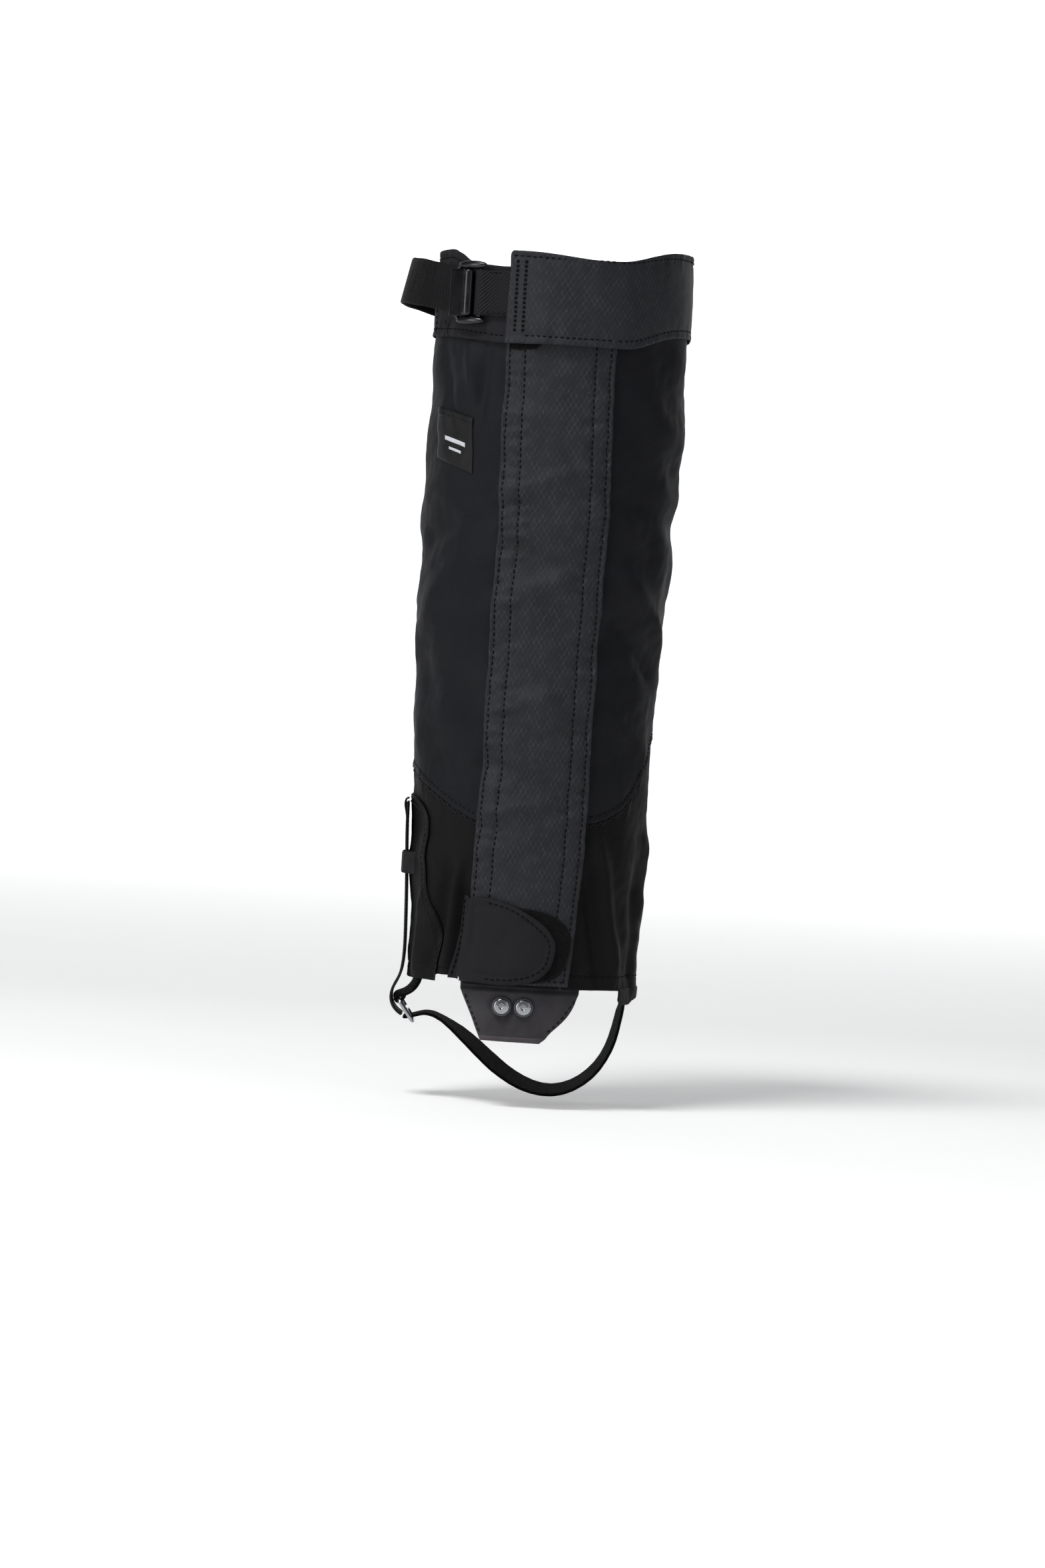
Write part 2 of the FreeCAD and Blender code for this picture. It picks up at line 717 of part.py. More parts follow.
# corner tab: a rounded scrap of webbing that holds the strap's inner end
corner_zone = prism(
    "corner_zone",
    [[(OUT, 7.5), (50, 7.5)], [(50, -4.5), (52, -5.4), (58, -5.2), (61.5, -1), (62.5, 4), (OUT, 4)]],
    near=26.0, far=12.5,
)
corner_limit = prism("corner_limit", rectangle(-OUT, OUT, -6.0, -0.2), near=OUT, far=OUT)
cloth("strap_corner_tab", "shell_inside", "shell_outside", corner_zone, corner_limit)

# ------------------------------------------------------------------ lace hook tab

tab_gap = 0.6
tab_drop = size("tab_drop")
rivet_mid = size("rivet_shift")
rivet_half = size("rivet_spacing") / 2
rivet_z = -size("rivet_drop")
shank = size("rivet_shank_diameter") / 2
head = size("rivet_head_diameter") / 2
lace_zone = prism(
    "lace_zone",
    [
        [(-31.4, -tab_gap), (29.6, -tab_gap)],
        [(29.6, -tab_gap), (27.6, -8.5), (21.8, -17.5), (14.6, -24.5)],
        [(14.6, -24.5), (12.6, -27.5), (9.5, -tab_drop)],
        [(9.5, -tab_drop), (-18.5, -tab_drop)],
    ],
)
lace_cloth = doc.addObject("Part::MultiCommon", "lace_tab_cloth")
lace_cloth.Shapes = [layer("lace_tab", "shell_inside", "shell_outside"), lace_zone]
rivet_xs = [rivet_mid - rivet_half, rivet_mid + rivet_half]
LYING = Rotation(Vector(1, 0, 0), 90)
rivet_clearance = 0.1


def rivet_axis(x, offset):
    """A point on a rivet's axis, which runs along Y, at an offset from the tab's outer face."""
    return front_point(rivet_mid, rivet_z, 0) + Vector(x - rivet_mid, -offset, 0)


hole_cutters = [
    upright_rod(f"rivet_hole_{index}", shank + rivet_clearance, 30, Placement(rivet_axis(x, -15), LYING))
    for index, x in enumerate(rivet_xs)
]
lace_tab = doc.addObject("Part::Cut", "lace_tab")
lace_tab.Base = lace_cloth
lace_tab.Tool = joined("rivet_holes", hole_cutters)
keep(lace_tab, "lace_hook_tab")

# hook: a stamped plate behind the tab, whose tongue turns back up to catch a lace
hook_gauge = 1.1
hook_face = 3.6  # its front face, behind the tab's outer face
hook_width = 23.0
tongue_half = 5.0
tongue_low = -25.0
hook_return = 6.0
hook_body = doc.addObject("PartDesign::Body", "LaceHook")
plate_top = rivet_z + 5.6
plate_low = rivet_z - 5.6
hook_profile = [
    [(0, plate_top), (0, tongue_low)],
    arc_run((hook_return / 2, tongue_low), hook_return / 2, 180, 360),
    [(hook_return, tongue_low), (hook_return, tongue_low + 6.5)],
    [(hook_return - hook_gauge, tongue_low + 6.5), (hook_return - hook_gauge, tongue_low)],
    arc_run((hook_return / 2, tongue_low), hook_return / 2 - hook_gauge, 360, 180),
    [(hook_gauge, tongue_low), (hook_gauge, plate_top)],
]
hook_sketch = new_sketch(hook_body, "HookProfile", "YZ_Plane", hook_profile)
pad(hook_body, "HookStrip", hook_sketch, hook_width)
waist_sketch = new_sketch(
    hook_body, "HookWaist", "XZ_Plane",
    rectangle(tongue_half, hook_width, tongue_low - 10, plate_low)
)
waist = hook_body.newObject("PartDesign::Pocket", "RightShoulder")
waist.Profile = waist_sketch
waist.Type = "ThroughAll"
waist.Midplane = True
other_sketch = new_sketch(
    hook_body, "HookOtherWaist", "XZ_Plane",
    rectangle(-hook_width, -tongue_half, tongue_low - 10, plate_low)
)
other_waist = hook_body.newObject("PartDesign::Pocket", "LeftShoulder")
other_waist.Profile = other_sketch
other_waist.Type = "ThroughAll"
other_waist.Midplane = True
for side in (-1, 1):
    name = "Left" if side < 0 else "Right"
    centre = (side * rivet_half, rivet_z)
    hole = new_sketch(
        hook_body, f"{name}RivetHole", "XZ_Plane",
        [arc_run(centre, shank + rivet_clearance, 0, 180), arc_run(centre, shank + rivet_clearance, 180, 360)],
    )
    bore = hook_body.newObject("PartDesign::Pocket", f"{name}Bore")
    bore.Profile = hole
    bore.Type = "ThroughAll"
    bore.Midplane = True
tab_face = front_point(rivet_mid, rivet_z, 0)
hook_body.Placement = Placement(Vector(rivet_mid, tab_face.y + hook_face, 0), Rotation())
keep(hook_body, "lace_hook")

# rivets: hollow domed heads, with a burr round the bore, and turned-over tails behind the hook
washer_gauge = 0.5
washer_seat = 0.6
head_seat = washer_seat + washer_gauge
tail_seat = hook_face + hook_gauge
half_section = [
    (1.0, head_seat + 1.0), (1.4, head_seat + 1.9), (2.2, head_seat + 1.7), (3.8, head_seat + 1.35),
    (head, head_seat + 0.4), (head, head_seat), (shank, head_seat), (shank, -tail_seat), (shank + 1.6, -tail_seat),
    (shank + 1.3, -tail_seat - 0.9), (1.0, -tail_seat - 0.9),
]


def rivet(name, x):
    """A rivet turned about its own axis, head towards -Y."""
    body = doc.addObject("PartDesign::Body", name)
    corners = half_section + half_section[:1]
    section = new_sketch(body, f"{name}Section", "XZ_Plane", [list(pair) for pair in zip(corners, corners[1:])])
    turned = body.newObject("PartDesign::Revolution", f"{name}Turned")
    turned.Profile = section
    turned.ReferenceAxis = (section, ["V_Axis"])
    turned.Angle = 360
    body.Placement = Placement(rivet_axis(x, 0), LYING)
    return body


rivets = doc.addObject("Part::Compound", "rivets")
rivets.Links = [rivet(name, x) for name, x in zip(("OuterRivet", "InnerRivet"), rivet_xs)]
keep(rivets, "hook_rivets")

washers = []
for index, x in enumerate(rivet_xs):
    place = Placement(rivet_axis(x, washer_seat), LYING)
    disc = upright_rod(f"washer_disc_{index}", head + 0.9, washer_gauge, place)
    bore = upright_rod(f"washer_bore_{index}", shank + rivet_clearance, washer_gauge, place)
    washer = doc.addObject("Part::Cut", f"washer_{index}")
    washer.Base = disc
    washer.Tool = bore
    washers.append(washer)
washer_pair = doc.addObject("Part::Compound", "washers")
washer_pair.Links = washers
keep(washer_pair, "rivet_washers")

# ------------------------------------------------------------------ check and write

doc.recompute()
for item in doc.Objects:
    if {"Invalid", "Error"} & set(item.State):
        raise RuntimeError(f"{item.Name} ({item.Label}) failed: {item.State}")
os.makedirs("parts", exist_ok=True)
for part in parts:
    if part.Shape.isNull() or not part.Shape.isValid() or not part.Shape.Solids:
        raise RuntimeError(f"{part.Label} has no valid solid")
    box = part.Shape.BoundBox
    print(f"{part.Label}: {len(part.Shape.Solids)} solid, {part.Shape.Volume:.0f} mm3, "
          f"x {box.XMin:.1f}..{box.XMax:.1f} y {box.YMin:.1f}..{box.YMax:.1f} z {box.ZMin:.1f}..{box.ZMax:.1f}")
    part.Shape.exportStep(f"parts/{part.Label}.step")
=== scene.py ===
"""The looks of a knee-high gaiter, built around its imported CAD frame.

Every cloth piece is a sheet on the same oval tube as the CAD, with folds, hems and modelled stitches.
The straps' routes start from the CAD ones, and differ where the instep strap twists, hangs lower and
runs on behind the hem, and where the collar webbing climbs. Lengths in the tables are millimetres and
are turned into metres where a mesh is made.
"""
import math

import bpy
import numpy as np
from mathutils import Matrix, Vector


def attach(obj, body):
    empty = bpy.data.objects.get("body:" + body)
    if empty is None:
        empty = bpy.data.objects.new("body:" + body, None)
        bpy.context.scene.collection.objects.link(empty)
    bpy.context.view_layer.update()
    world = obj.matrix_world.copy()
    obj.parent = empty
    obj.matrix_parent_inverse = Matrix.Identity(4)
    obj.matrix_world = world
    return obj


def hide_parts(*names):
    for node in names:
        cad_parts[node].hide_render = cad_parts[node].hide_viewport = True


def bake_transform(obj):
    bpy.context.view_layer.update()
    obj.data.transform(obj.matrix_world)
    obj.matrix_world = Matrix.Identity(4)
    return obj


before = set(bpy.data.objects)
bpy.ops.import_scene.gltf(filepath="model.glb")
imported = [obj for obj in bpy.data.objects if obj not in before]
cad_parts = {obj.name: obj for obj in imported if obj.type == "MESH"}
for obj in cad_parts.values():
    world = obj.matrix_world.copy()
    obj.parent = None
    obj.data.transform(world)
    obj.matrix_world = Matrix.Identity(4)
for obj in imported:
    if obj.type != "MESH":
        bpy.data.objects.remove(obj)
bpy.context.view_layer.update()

MM = 0.001
TURN = 6.283  # a full turn, for waves and puckers
ARC = 64.0  # mm of girth for a radian, on the middle of the tube
ARC_PER_DEGREE = ARC * math.pi / 180
PANEL_ARC_PER_DEGREE = 1.117  # the same, for the number of rows in a panel
CLOTH_ARC = 64.5  # mm of weave for a radian
RNG = np.random.default_rng(7)

# ---------------------------------------------------------------- the tube

# height, half width, half depth, sideways shift of the shell's outer face
STATIONS = np.array([
    (-45.0, 61.0, 56.0, 0.4),
    (60.0, 63.0, 57.5, -1.2),
    (205.0, 67.3, 60.0, -2.4),
    (344.0, 68.4, 61.0, -0.2),
    (412.0, 66.4, 59.5, 0.0),
])
COLLAR_LOW = 344.0
RIM = 391.0
RIM_BACK = 379.0
COLLAR_HALF = 68.4
COLLAR_DEPTH = 61.0
FLAP_BOTTOM = 1.6
FLAP_TOP = 384.0


def spline(xs, ys, at):
    """A natural cubic through the points, at the places asked for."""
    xs, ys, at = np.asarray(xs, float), np.asarray(ys, float), np.asarray(at, float)
    count = len(xs)
    if count == 2:
        return np.interp(at, xs, ys)
    step = np.diff(xs)
    matrix = np.eye(count)
    right = np.zeros(count)
    for i in range(1, count - 1):
        matrix[i, i - 1:i + 2] = step[i - 1], 2 * (step[i - 1] + step[i]), step[i]
        right[i] = 6 * ((ys[i + 1] - ys[i]) / step[i] - (ys[i] - ys[i - 1]) / step[i - 1])
    bend = np.linalg.solve(matrix, right)
    i = np.clip(np.searchsorted(xs, at) - 1, 0, count - 2)
    low, high, span = at - xs[i], xs[i + 1] - at, step[i]
    return (
        bend[i] * high**3 / (6 * span) + bend[i + 1] * low**3 / (6 * span)
        + (ys[i] / span - bend[i] * span / 6) * high + (ys[i + 1] / span - bend[i + 1] * span / 6) * low
    )


def station(column, z):
    """One column of the stations at a height."""
    return spline(STATIONS[:, 0], STATIONS[:, column], z)


def smooth(low, high, at):
    """Eases from 0 at low to 1 at high."""
    t = np.clip((np.asarray(at, float) - low) / (high - low), 0, 1)
    return t * t * (3 - 2 * t)


def lean(z):
    """How far the storm flap's edges lie to the outer side at this height."""
    depth = np.clip((120.0 - np.asarray(z, float)) / (120.0 - FLAP_BOTTOM), 0, None)
    return -5.3 * depth**2


def angle_at(x, z, offset=0.0):
    """The angle from the front, towards the inner side, of a point seen at x from the front."""
    across = (np.asarray(x, float) - station(3, z)) / (station(1, z) + offset)
    return np.arcsin(np.clip(across, -1, 1))


def cloth_waves(count, per_arc, per_height, least):
    """Waves of cloth: arc waves per mm, height waves per mm, phase, share."""
    return [
        (RNG.normal(0, per_arc), RNG.normal(0, per_height), RNG.uniform(0, TURN), RNG.uniform(least, 1.0))
        for _ in range(count)
    ]


WAVES = cloth_waves(26, 1 / 60, 1 / 45, 0.4)
FINE_WAVES = cloth_waves(30, 1 / 17, 1 / 15, 0.3)
WAVE_SIZE, FINE_WAVE_SIZE, FOLD_SIZE = 0.27, 0.045, 1.9
# folds: arc and height of both ends, width, how far it stands out (or sinks)
FOLDS = [
    (-62, 2, -47, 62, 5.0, -2.6),
    (-47, 0, -39, 66, 4.6, 2.2),
    (-74, 0, -66, 48, 6.0, 2.0),
    (-40, 2, -36, 58, 3.6, -2.2),
    (-88, 120, -40, 158, 9.0, 1.0),
    (-92, 176, -48, 226, 9.0, 1.3),
    (-84, 236, -52, 250, 7.0, -1.8),
    (-96, 262, -52, 262, 10.0, 1.0),
    (-70, 300, -40, 334, 9.0, 0.8),
    (-28, 262, 12, 277, 6.0, 1.2),
    (-22, 240, 27, 214, 7.0, -1.5),
    (-26, 204, 14, 222, 5.5, 1.2),
    (-28, 173, 20, 160, 6.5, -1.2),
    (-26, 147, 10, 156, 5.0, 1.1),
    (-30, 119, 22, 104, 6.0, -1.5),
    (-28, 92, 12, 99, 4.5, 1.3),
    (-8, 68, 26, 82, 5.5, -1.0),
    (-26, 318, 16, 306, 6.0, -0.9),
    (2, 334, 27, 318, 5.0, 0.9),
    (12, 292, 27, 250, 5.0, 0.9),
    (34, 230, 92, 186, 7.0, 1.6),
    (36, 204, 78, 168, 6.0, -1.2),
    (40, 262, 104, 250, 8.0, -1.6),
    (34, 322, 96, 290, 10.0, 1.3),
    (38, 150, 84, 120, 8.0, 1.1),
    (60, 2, 38, 88, 5.6, 2.0),
    (48, 2, 34, 66, 5.0, -1.9),
    (84, 0, 80, 66, 7.0, -1.6),
    (98, 40, 101, 84, 11.0, 1.3),
    (-72, 342, -58, 296, 4.0, -1.0),
    (-50, 343, -44, 312, 3.5, 1.0),
    (-38, 343, -40, 300, 3.0, -0.9),
    (120, 40, 170, 96, 12.0, 1.6),
    (-130, 30, -176, 86, 12.0, 1.5),
    (140, 180, 190, 230, 16.0, 1.4),
    (-150, 200, -110, 260, 14.0, 1.2),
]


def drape(angle, z):
    """How far the cloth stands off the smooth tube, in mm, at each angle and height."""
    arc = np.asarray(angle, float) * ARC
    z = np.asarray(z, float)
    front = np.exp(-(arc / 40.0) ** 2)
    out = np.zeros(np.broadcast(arc, z).shape)
    for waves, size in ((WAVES, WAVE_SIZE), (FINE_WAVES, FINE_WAVE_SIZE)):
        for wave_arc, wave_z, phase, share in waves:
            out = out + size * share * np.sin(TURN * (wave_arc * arc + wave_z * z) + phase)
    for arc0, z0, arc1, z1, width, height in FOLDS:
        length = math.hypot(arc1 - arc0, z1 - z0)
        ux, uz = (arc1 - arc0) / length, (z1 - z0) / length
        share = np.clip(((arc - arc0) * ux + (z - z0) * uz) / length, -0.2, 1.2)
        off = -(arc - arc0) * uz + (z - z0) * ux
        ends = smooth(-0.2, 0.2, share) * (1 - smooth(0.8, 1.2, share))
        out = out + FOLD_SIZE * height * ends * np.exp(-(off / width) ** 2)
    out = out * (1 - 0.12 * front)
    return out * (1 - 0.6 * smooth(340, 372, z))


def sway(z):
    """The empty tube leans a little to the inner side below the label."""
    return 1.6 * np.exp(-((np.asarray(z, float) - 250.0) / 40.0) ** 2)


def skin(angle, z, offset=0.0, draped=1.0):
    """Points of the tube in metres, offset mm outside the shell's outer face."""
    angle, z, offset = np.broadcast_arrays(
        np.asarray(angle, float), np.asarray(z, float), np.asarray(offset, float)
    )
    off = offset + draped * drape(angle, z)
    x = station(3, z) + sway(z) + (station(1, z) + off) * np.sin(angle)
    y = -(station(2, z) + off) * np.cos(angle)
    return np.stack([x, y, z], axis=-1) * MM


def rim_height(angle):
    """The top edge: level in front, lower at the back."""
    return RIM + (RIM_BACK - RIM) * smooth(5, 55, -COLLAR_DEPTH * np.cos(angle))


# ---------------------------------------------------------------- meshes

def along(points, count, spacing=None):
    """A smooth curve through points, sampled evenly by length or at the shares asked for."""
    points = np.asarray(points, float)
    knots = np.concatenate([[0], np.cumsum(np.linalg.norm(np.diff(points, axis=0), axis=1))])
    fine = np.linspace(0, knots[-1], 400)
    dense = np.stack([spline(knots, points[:, k], fine) for k in range(points.shape[1])], axis=1)
    length = np.concatenate([[0], np.cumsum(np.linalg.norm(np.diff(dense, axis=0), axis=1))])
    shares = np.linspace(0, 1, count) if spacing is None else spacing
    at = np.asarray(shares) * length[-1]
    return np.stack([np.interp(at, length, dense[:, k]) for k in range(points.shape[1])], axis=1)


def edged(count, length, edge=0.55):
    """Shares from 0 to 1 with close rows at both ends, where an edge turns over."""
    e = min(edge / max(length, 1e-6), 0.2)
    inner = np.linspace(2.2 * e, 1 - 2.2 * e, max(count - 4, 2))
    return np.concatenate([[0, e], inner, [1 - e, 1]])


def normals_of(grid):
    """The directions square to a grid of points."""
    du = np.gradient(grid, axis=0)
    dv = np.gradient(grid, axis=1)
    n = np.cross(du, dv)
    return n / np.maximum(np.linalg.norm(n, axis=-1, keepdims=True), 1e-12)


def add_mesh(name, verts, faces, uvs, material):
    """A smooth-shaded mesh object; verts and uvs in metres."""
    mesh = bpy.data.meshes.new(name)
    mesh.from_pydata([tuple(v) for v in verts], [], [tuple(f) for f in faces])
    if uvs is not None:
        layer = mesh.uv_layers.new(name="cloth")
        index = np.zeros(len(mesh.loops), np.int32)
        mesh.loops.foreach_get("vertex_index", index)
        layer.data.foreach_set("uv", np.asarray(uvs, np.float32)[index].ravel())
    obj = bpy.data.objects.new(name, mesh)
    bpy.context.scene.collection.objects.link(obj)
    mesh.materials.append(material)
    mesh.polygons.foreach_set("use_smooth", [True] * len(mesh.polygons))
    return obj


def rim_drop(count):
    """How far each row sinks, as a share of the thickness, so that the rim is round."""
    drop = np.zeros(count)
    drop[[0, -1]], drop[[1, -2]] = 0.5, 0.12
    return drop


def closed_sheet(name, grid, uv, thickness, material, outward=None, butt=""):
    """A closed sheet: the grid is its outer face, the inner one lies thickness (mm) behind, the rim is round.

    butt is "first" or "last" where that edge meets a neighbouring piece, and stays square and sharp."""
    nu, nv, _ = grid.shape
    normal = normals_of(grid)
    if outward is None:
        outward = grid[nu // 2, nv // 2] * [1, 1, 0]
    if np.dot(normal[nu // 2, nv // 2], outward) < 0:
        normal = -normal
    t = thickness * MM
    drop_u, drop_v = rim_drop(nu), rim_drop(nv)
    if butt == "first":
        drop_u[:2] = 0.0
    if butt == "last":
        drop_u[-2:] = 0.0
    drop = np.maximum(drop_u[:, None], drop_v[None, :])[..., None] * t
    outer = grid - normal * drop
    inner = grid - normal * (t - drop * 0.9)
    verts = np.concatenate([outer.reshape(-1, 3), inner.reshape(-1, 3)])
    uvs = np.concatenate([uv.reshape(-1, 2), uv.reshape(-1, 2)])
    index = np.arange(nu * nv).reshape(nu, nv)
    a, b, c, d = index[:-1, :-1], index[1:, :-1], index[1:, 1:], index[:-1, 1:]
    quads = np.stack([a, b, c, d], axis=-1).reshape(-1, 4)
    flip = np.dot(np.cross(grid[1, 0] - grid[0, 0], grid[0, 1] - grid[0, 0]), normal[0, 0]) < 0
    if flip:
        quads = quads[:, ::-1]
    back = quads[:, ::-1] + nu * nv
    loop = np.concatenate([index[:, 0], index[-1, 1:], index[-2::-1, -1], index[0, -2:0:-1]])
    following = np.roll(loop, -1)
    rim = np.stack([loop, loop + nu * nv, following + nu * nv, following], axis=-1)
    if flip:
        rim = rim[:, ::-1]
    obj = add_mesh(name, verts, np.concatenate([quads, back, rim]), uvs, material)
    if butt:
        row = 0 if butt == "first" else -1
        ends = np.zeros(len(verts), bool)
        ends[index[row]] = True
        ends[index[row] + nu * nv] = True
        pairs = np.zeros(2 * len(obj.data.edges), np.int32)
        obj.data.edges.foreach_get("vertices", pairs)
        sharp = obj.data.attributes.new("sharp_edge", "BOOLEAN", "EDGE")
        sharp.data.foreach_set("value", ends[pairs.reshape(-1, 2)].all(axis=1))
    return obj


def patch(name, left, right, offset, thickness, material, step=1.6, by_angle=False, shape=None, butt=""):
    """A sheet between two outlines given as (x, height), or (degrees, height) with by_angle.

    shape(x, z, s, t) adds its own stand-off in mm."""
    rough_left, rough_right = along(left, 40), along(right, 40)
    scale = ARC_PER_DEGREE if by_angle else 1.0
    gaps = rough_left - rough_right
    width = max(np.hypot(gaps[:, 0] * scale, gaps[:, 1]).max(), 1e-3)
    runs = np.diff(rough_left, axis=0), np.diff(rough_right, axis=0)
    tall = max(np.hypot(run[:, 0] * scale, run[:, 1]).sum() for run in runs)
    across = edged(max(int(width / step), 6), width)
    upright = edged(max(int(tall / step), 6), tall)
    edge_left = along(left, 0, upright)
    edge_right = along(right, 0, upright)
    s, t = across[:, None], upright[None, :]
    first = edge_left[None, :, 0] * (1 - s) + edge_right[None, :, 0] * s
    z = edge_left[None, :, 1] * (1 - s) + edge_right[None, :, 1] * s
    stand = offset + 0 * first
    if shape is not None:
        stand = stand + shape(first, z, s, t)
    angle = np.radians(first) if by_angle else angle_at(first, z, stand)
    grid = skin(angle, z, stand)
    uv = np.stack([angle * CLOTH_ARC * MM, z * MM], axis=-1)
    return closed_sheet(name, grid, uv, thickness, material, butt=butt)


def join(name, objects):
    """One mesh object from several, keeping their materials."""
    if len(objects) == 1:
        objects[0].name = name
        return objects[0]
    chosen = {"active_object": objects[0], "object": objects[0]}
    chosen.update(selected_objects=objects, selected_editable_objects=objects)
    with bpy.context.temp_override(**chosen):
        bpy.ops.object.join()
    objects[0].name = name
    return objects[0]


def region(name, start, end, low, high, offset, thickness, material, step=1.7, shape=None, butt=""):
    """A sheet between two angles in degrees, bounded by low(angle) and high(angle).

    offset is a number or offset(angle, z); shape(angle, z) adds its own stand-off in mm."""
    wide = abs(end - start) * PANEL_ARC_PER_DEGREE
    degrees = start + (end - start) * edged(max(int(wide / step), 6), wide)
    angle = np.radians(degrees)[:, None]
    bottom, top = low(angle), high(angle)
    tall = float(np.max(top - bottom))
    t = edged(max(int(tall / step), 5), tall)[None, :]
    z = bottom + (top - bottom) * t
    away = offset(angle, z) if callable(offset) else offset + 0 * z
    if shape is not None:
        away = away + shape(angle, z)
    grid = skin(angle, z, away)
    uv = np.stack([np.broadcast_to(angle, z.shape) * CLOTH_ARC * MM, z * MM], axis=-1)
    return closed_sheet(name, grid, uv, thickness, material, butt=butt)


BLOB_SIDES = 132
BLOB_INSETS = np.array([0.0, 0.35, 0.9, 1.7, 2.6, 3.2, 3.6, 4.0, 4.6, 5.6, 7.0, 9.0, 12.0, 16.0])
BLOB_HEART = 18.5


def blob(name, outline, offset, thickness, material, shape=None):
    """A sheet inside a round outline given as (x, height): rings from the rim to the middle."""
    count = BLOB_SIDES
    closed = np.asarray(list(outline) + [outline[0]], float)
    runs = np.concatenate([[0], np.cumsum(np.linalg.norm(np.diff(closed, axis=0), axis=1))])
    at = np.linspace(0, runs[-1], count, endpoint=False)
    rim = np.stack([np.interp(at, runs, closed[:, k]) for k in range(2)], axis=1)
    for _ in range(3):
        rim = 0.5 * rim + 0.25 * (np.roll(rim, 1, axis=0) + np.roll(rim, -1, axis=0))
    middle = rim.mean(axis=0)
    reach = np.linalg.norm(rim - middle, axis=1)
    shares = [np.clip(1 - inset / reach, 0.0, 1) * (1 - inset / BLOB_HEART) ** 0.35 for inset in BLOB_INSETS]
    rings = [middle + (rim - middle) * share[:, None] for share in shares]
    drops = [0.5, 0.12] + [0.0] * (len(BLOB_INSETS) - 2)
    outer, inner, uvs = [], [], []
    for ring, inset, drop in zip(rings, BLOB_INSETS, drops):
        x, z = ring[:, 0], ring[:, 1]
        away = offset + (shape(x, z, inset) if shape else 0 * x)
        outer.append(skin(angle_at(x, z, away), z, away - drop * thickness))
        inner.append(skin(angle_at(x, z, away), z, away - thickness * (1 - 0.9 * drop)))
        uvs.append(np.stack([x, z], axis=1) * MM)
    x, z = middle
    away = offset + (float(shape(np.array([x]), np.array([z]), 18.0)[0]) if shape else 0.0)
    heart = skin(angle_at(x, z, away), z, np.array([away, away - thickness]))
    total = len(rings) * count
    verts = np.concatenate([*outer, *inner, heart])
    uv = np.concatenate([*uvs, *uvs, [[x * MM, z * MM]] * 2])
    faces = []
    for ring in range(len(rings) - 1):
        for k in range(count):
            n = (k + 1) % count
            a, b = ring * count + k, ring * count + n
            faces.append((a, b, b + count, a + count))
            faces.append((total + a + count, total + b + count, total + b, total + a))
    last = (len(rings) - 1) * count
    for k in range(count):
        n = (k + 1) % count
        faces.append((last + k, last + n, 2 * total))
        faces.append((total + last + n, total + last + k, 2 * total + 1))
        faces.append((k, total + k, total + n, n))
    corner, second, third = (verts[k] for k in faces[0][:3])
    if np.dot(np.cross(second - corner, third - corner), corner * [1, 1, 0]) < 0:
        faces = [face[::-1] for face in faces]
    return add_mesh(name, verts, faces, uv, material)


def ribbon(name, path, across, width, thickness, material, outward, step=1.2, ripple=0.06, roll=None):
    """Flat webbing along a path of middle points in mm.

    across is the direction of its width, or one for each of some even places along it. roll gives the
    degrees, at even places too, by which it turns about its own line."""
    path = np.asarray(path, float)
    length = float(np.linalg.norm(np.diff(path, axis=0), axis=1).sum())
    route = along(path, 0, edged(max(int(length / step), 8), length, 0.4))
    widths = np.atleast_2d(np.asarray(across, float))
    places = np.linspace(0, 1, len(route)) * (len(widths) - 1)
    widths = np.stack([np.interp(places, np.arange(len(widths)), part) for part in widths.T], axis=1)
    tangent = np.gradient(route, axis=0)
    normal = np.cross(tangent, widths)
    normal /= np.linalg.norm(normal, axis=1, keepdims=True)
    if np.dot(normal[0], outward) < 0:
        normal = -normal
    if roll is not None:
        turn = np.interp(np.linspace(0, 1, len(route)), np.linspace(0, 1, len(roll)), roll)
        cos, sin = np.cos(np.radians(turn))[:, None], np.sin(np.radians(turn))[:, None]
        widths, normal = widths * cos + normal * sin, normal * cos - widths * sin
    share = edged(13, width, 0.45)
    side = (share - 0.5)[:, None, None] * width * widths[None, :, :]
    run = np.linspace(0, length, len(route))
    ribs = ripple * np.sin(TURN * run / 1.55)[None, :, None] * (1 - (2 * share[:, None, None] - 1) ** 8)
    edge_wave = 0.12 * np.sin(run / 3.1 + 1.0)[None, :, None] * np.sign(share - 0.5)[:, None, None] * widths
    grid = route[None, :, :] + side + edge_wave + normal[None, :, :] * (thickness / 2 + ribs)
    uv = np.stack(np.broadcast_arrays(share[:, None] * width, run[None, :]), axis=-1) * MM
    return closed_sheet(name, grid * MM, uv, thickness, material, outward=normal[len(route) // 2])


def ring_faces(rings, sides, closed=False):
    """Four-sided faces between neighbouring rings; closed joins the last ring to the first."""
    faces = []
    for i in range(rings if closed else rings - 1):
        j = (i + 1) % rings
        for k in range(sides):
            n = (k + 1) % sides
            faces.append((i * sides + k, i * sides + n, j * sides + n, j * sides + k))
    return faces


def end_caps(rings, sides):
    return [tuple(range(sides))[::-1], tuple((rings - 1) * sides + k for k in range(sides))]


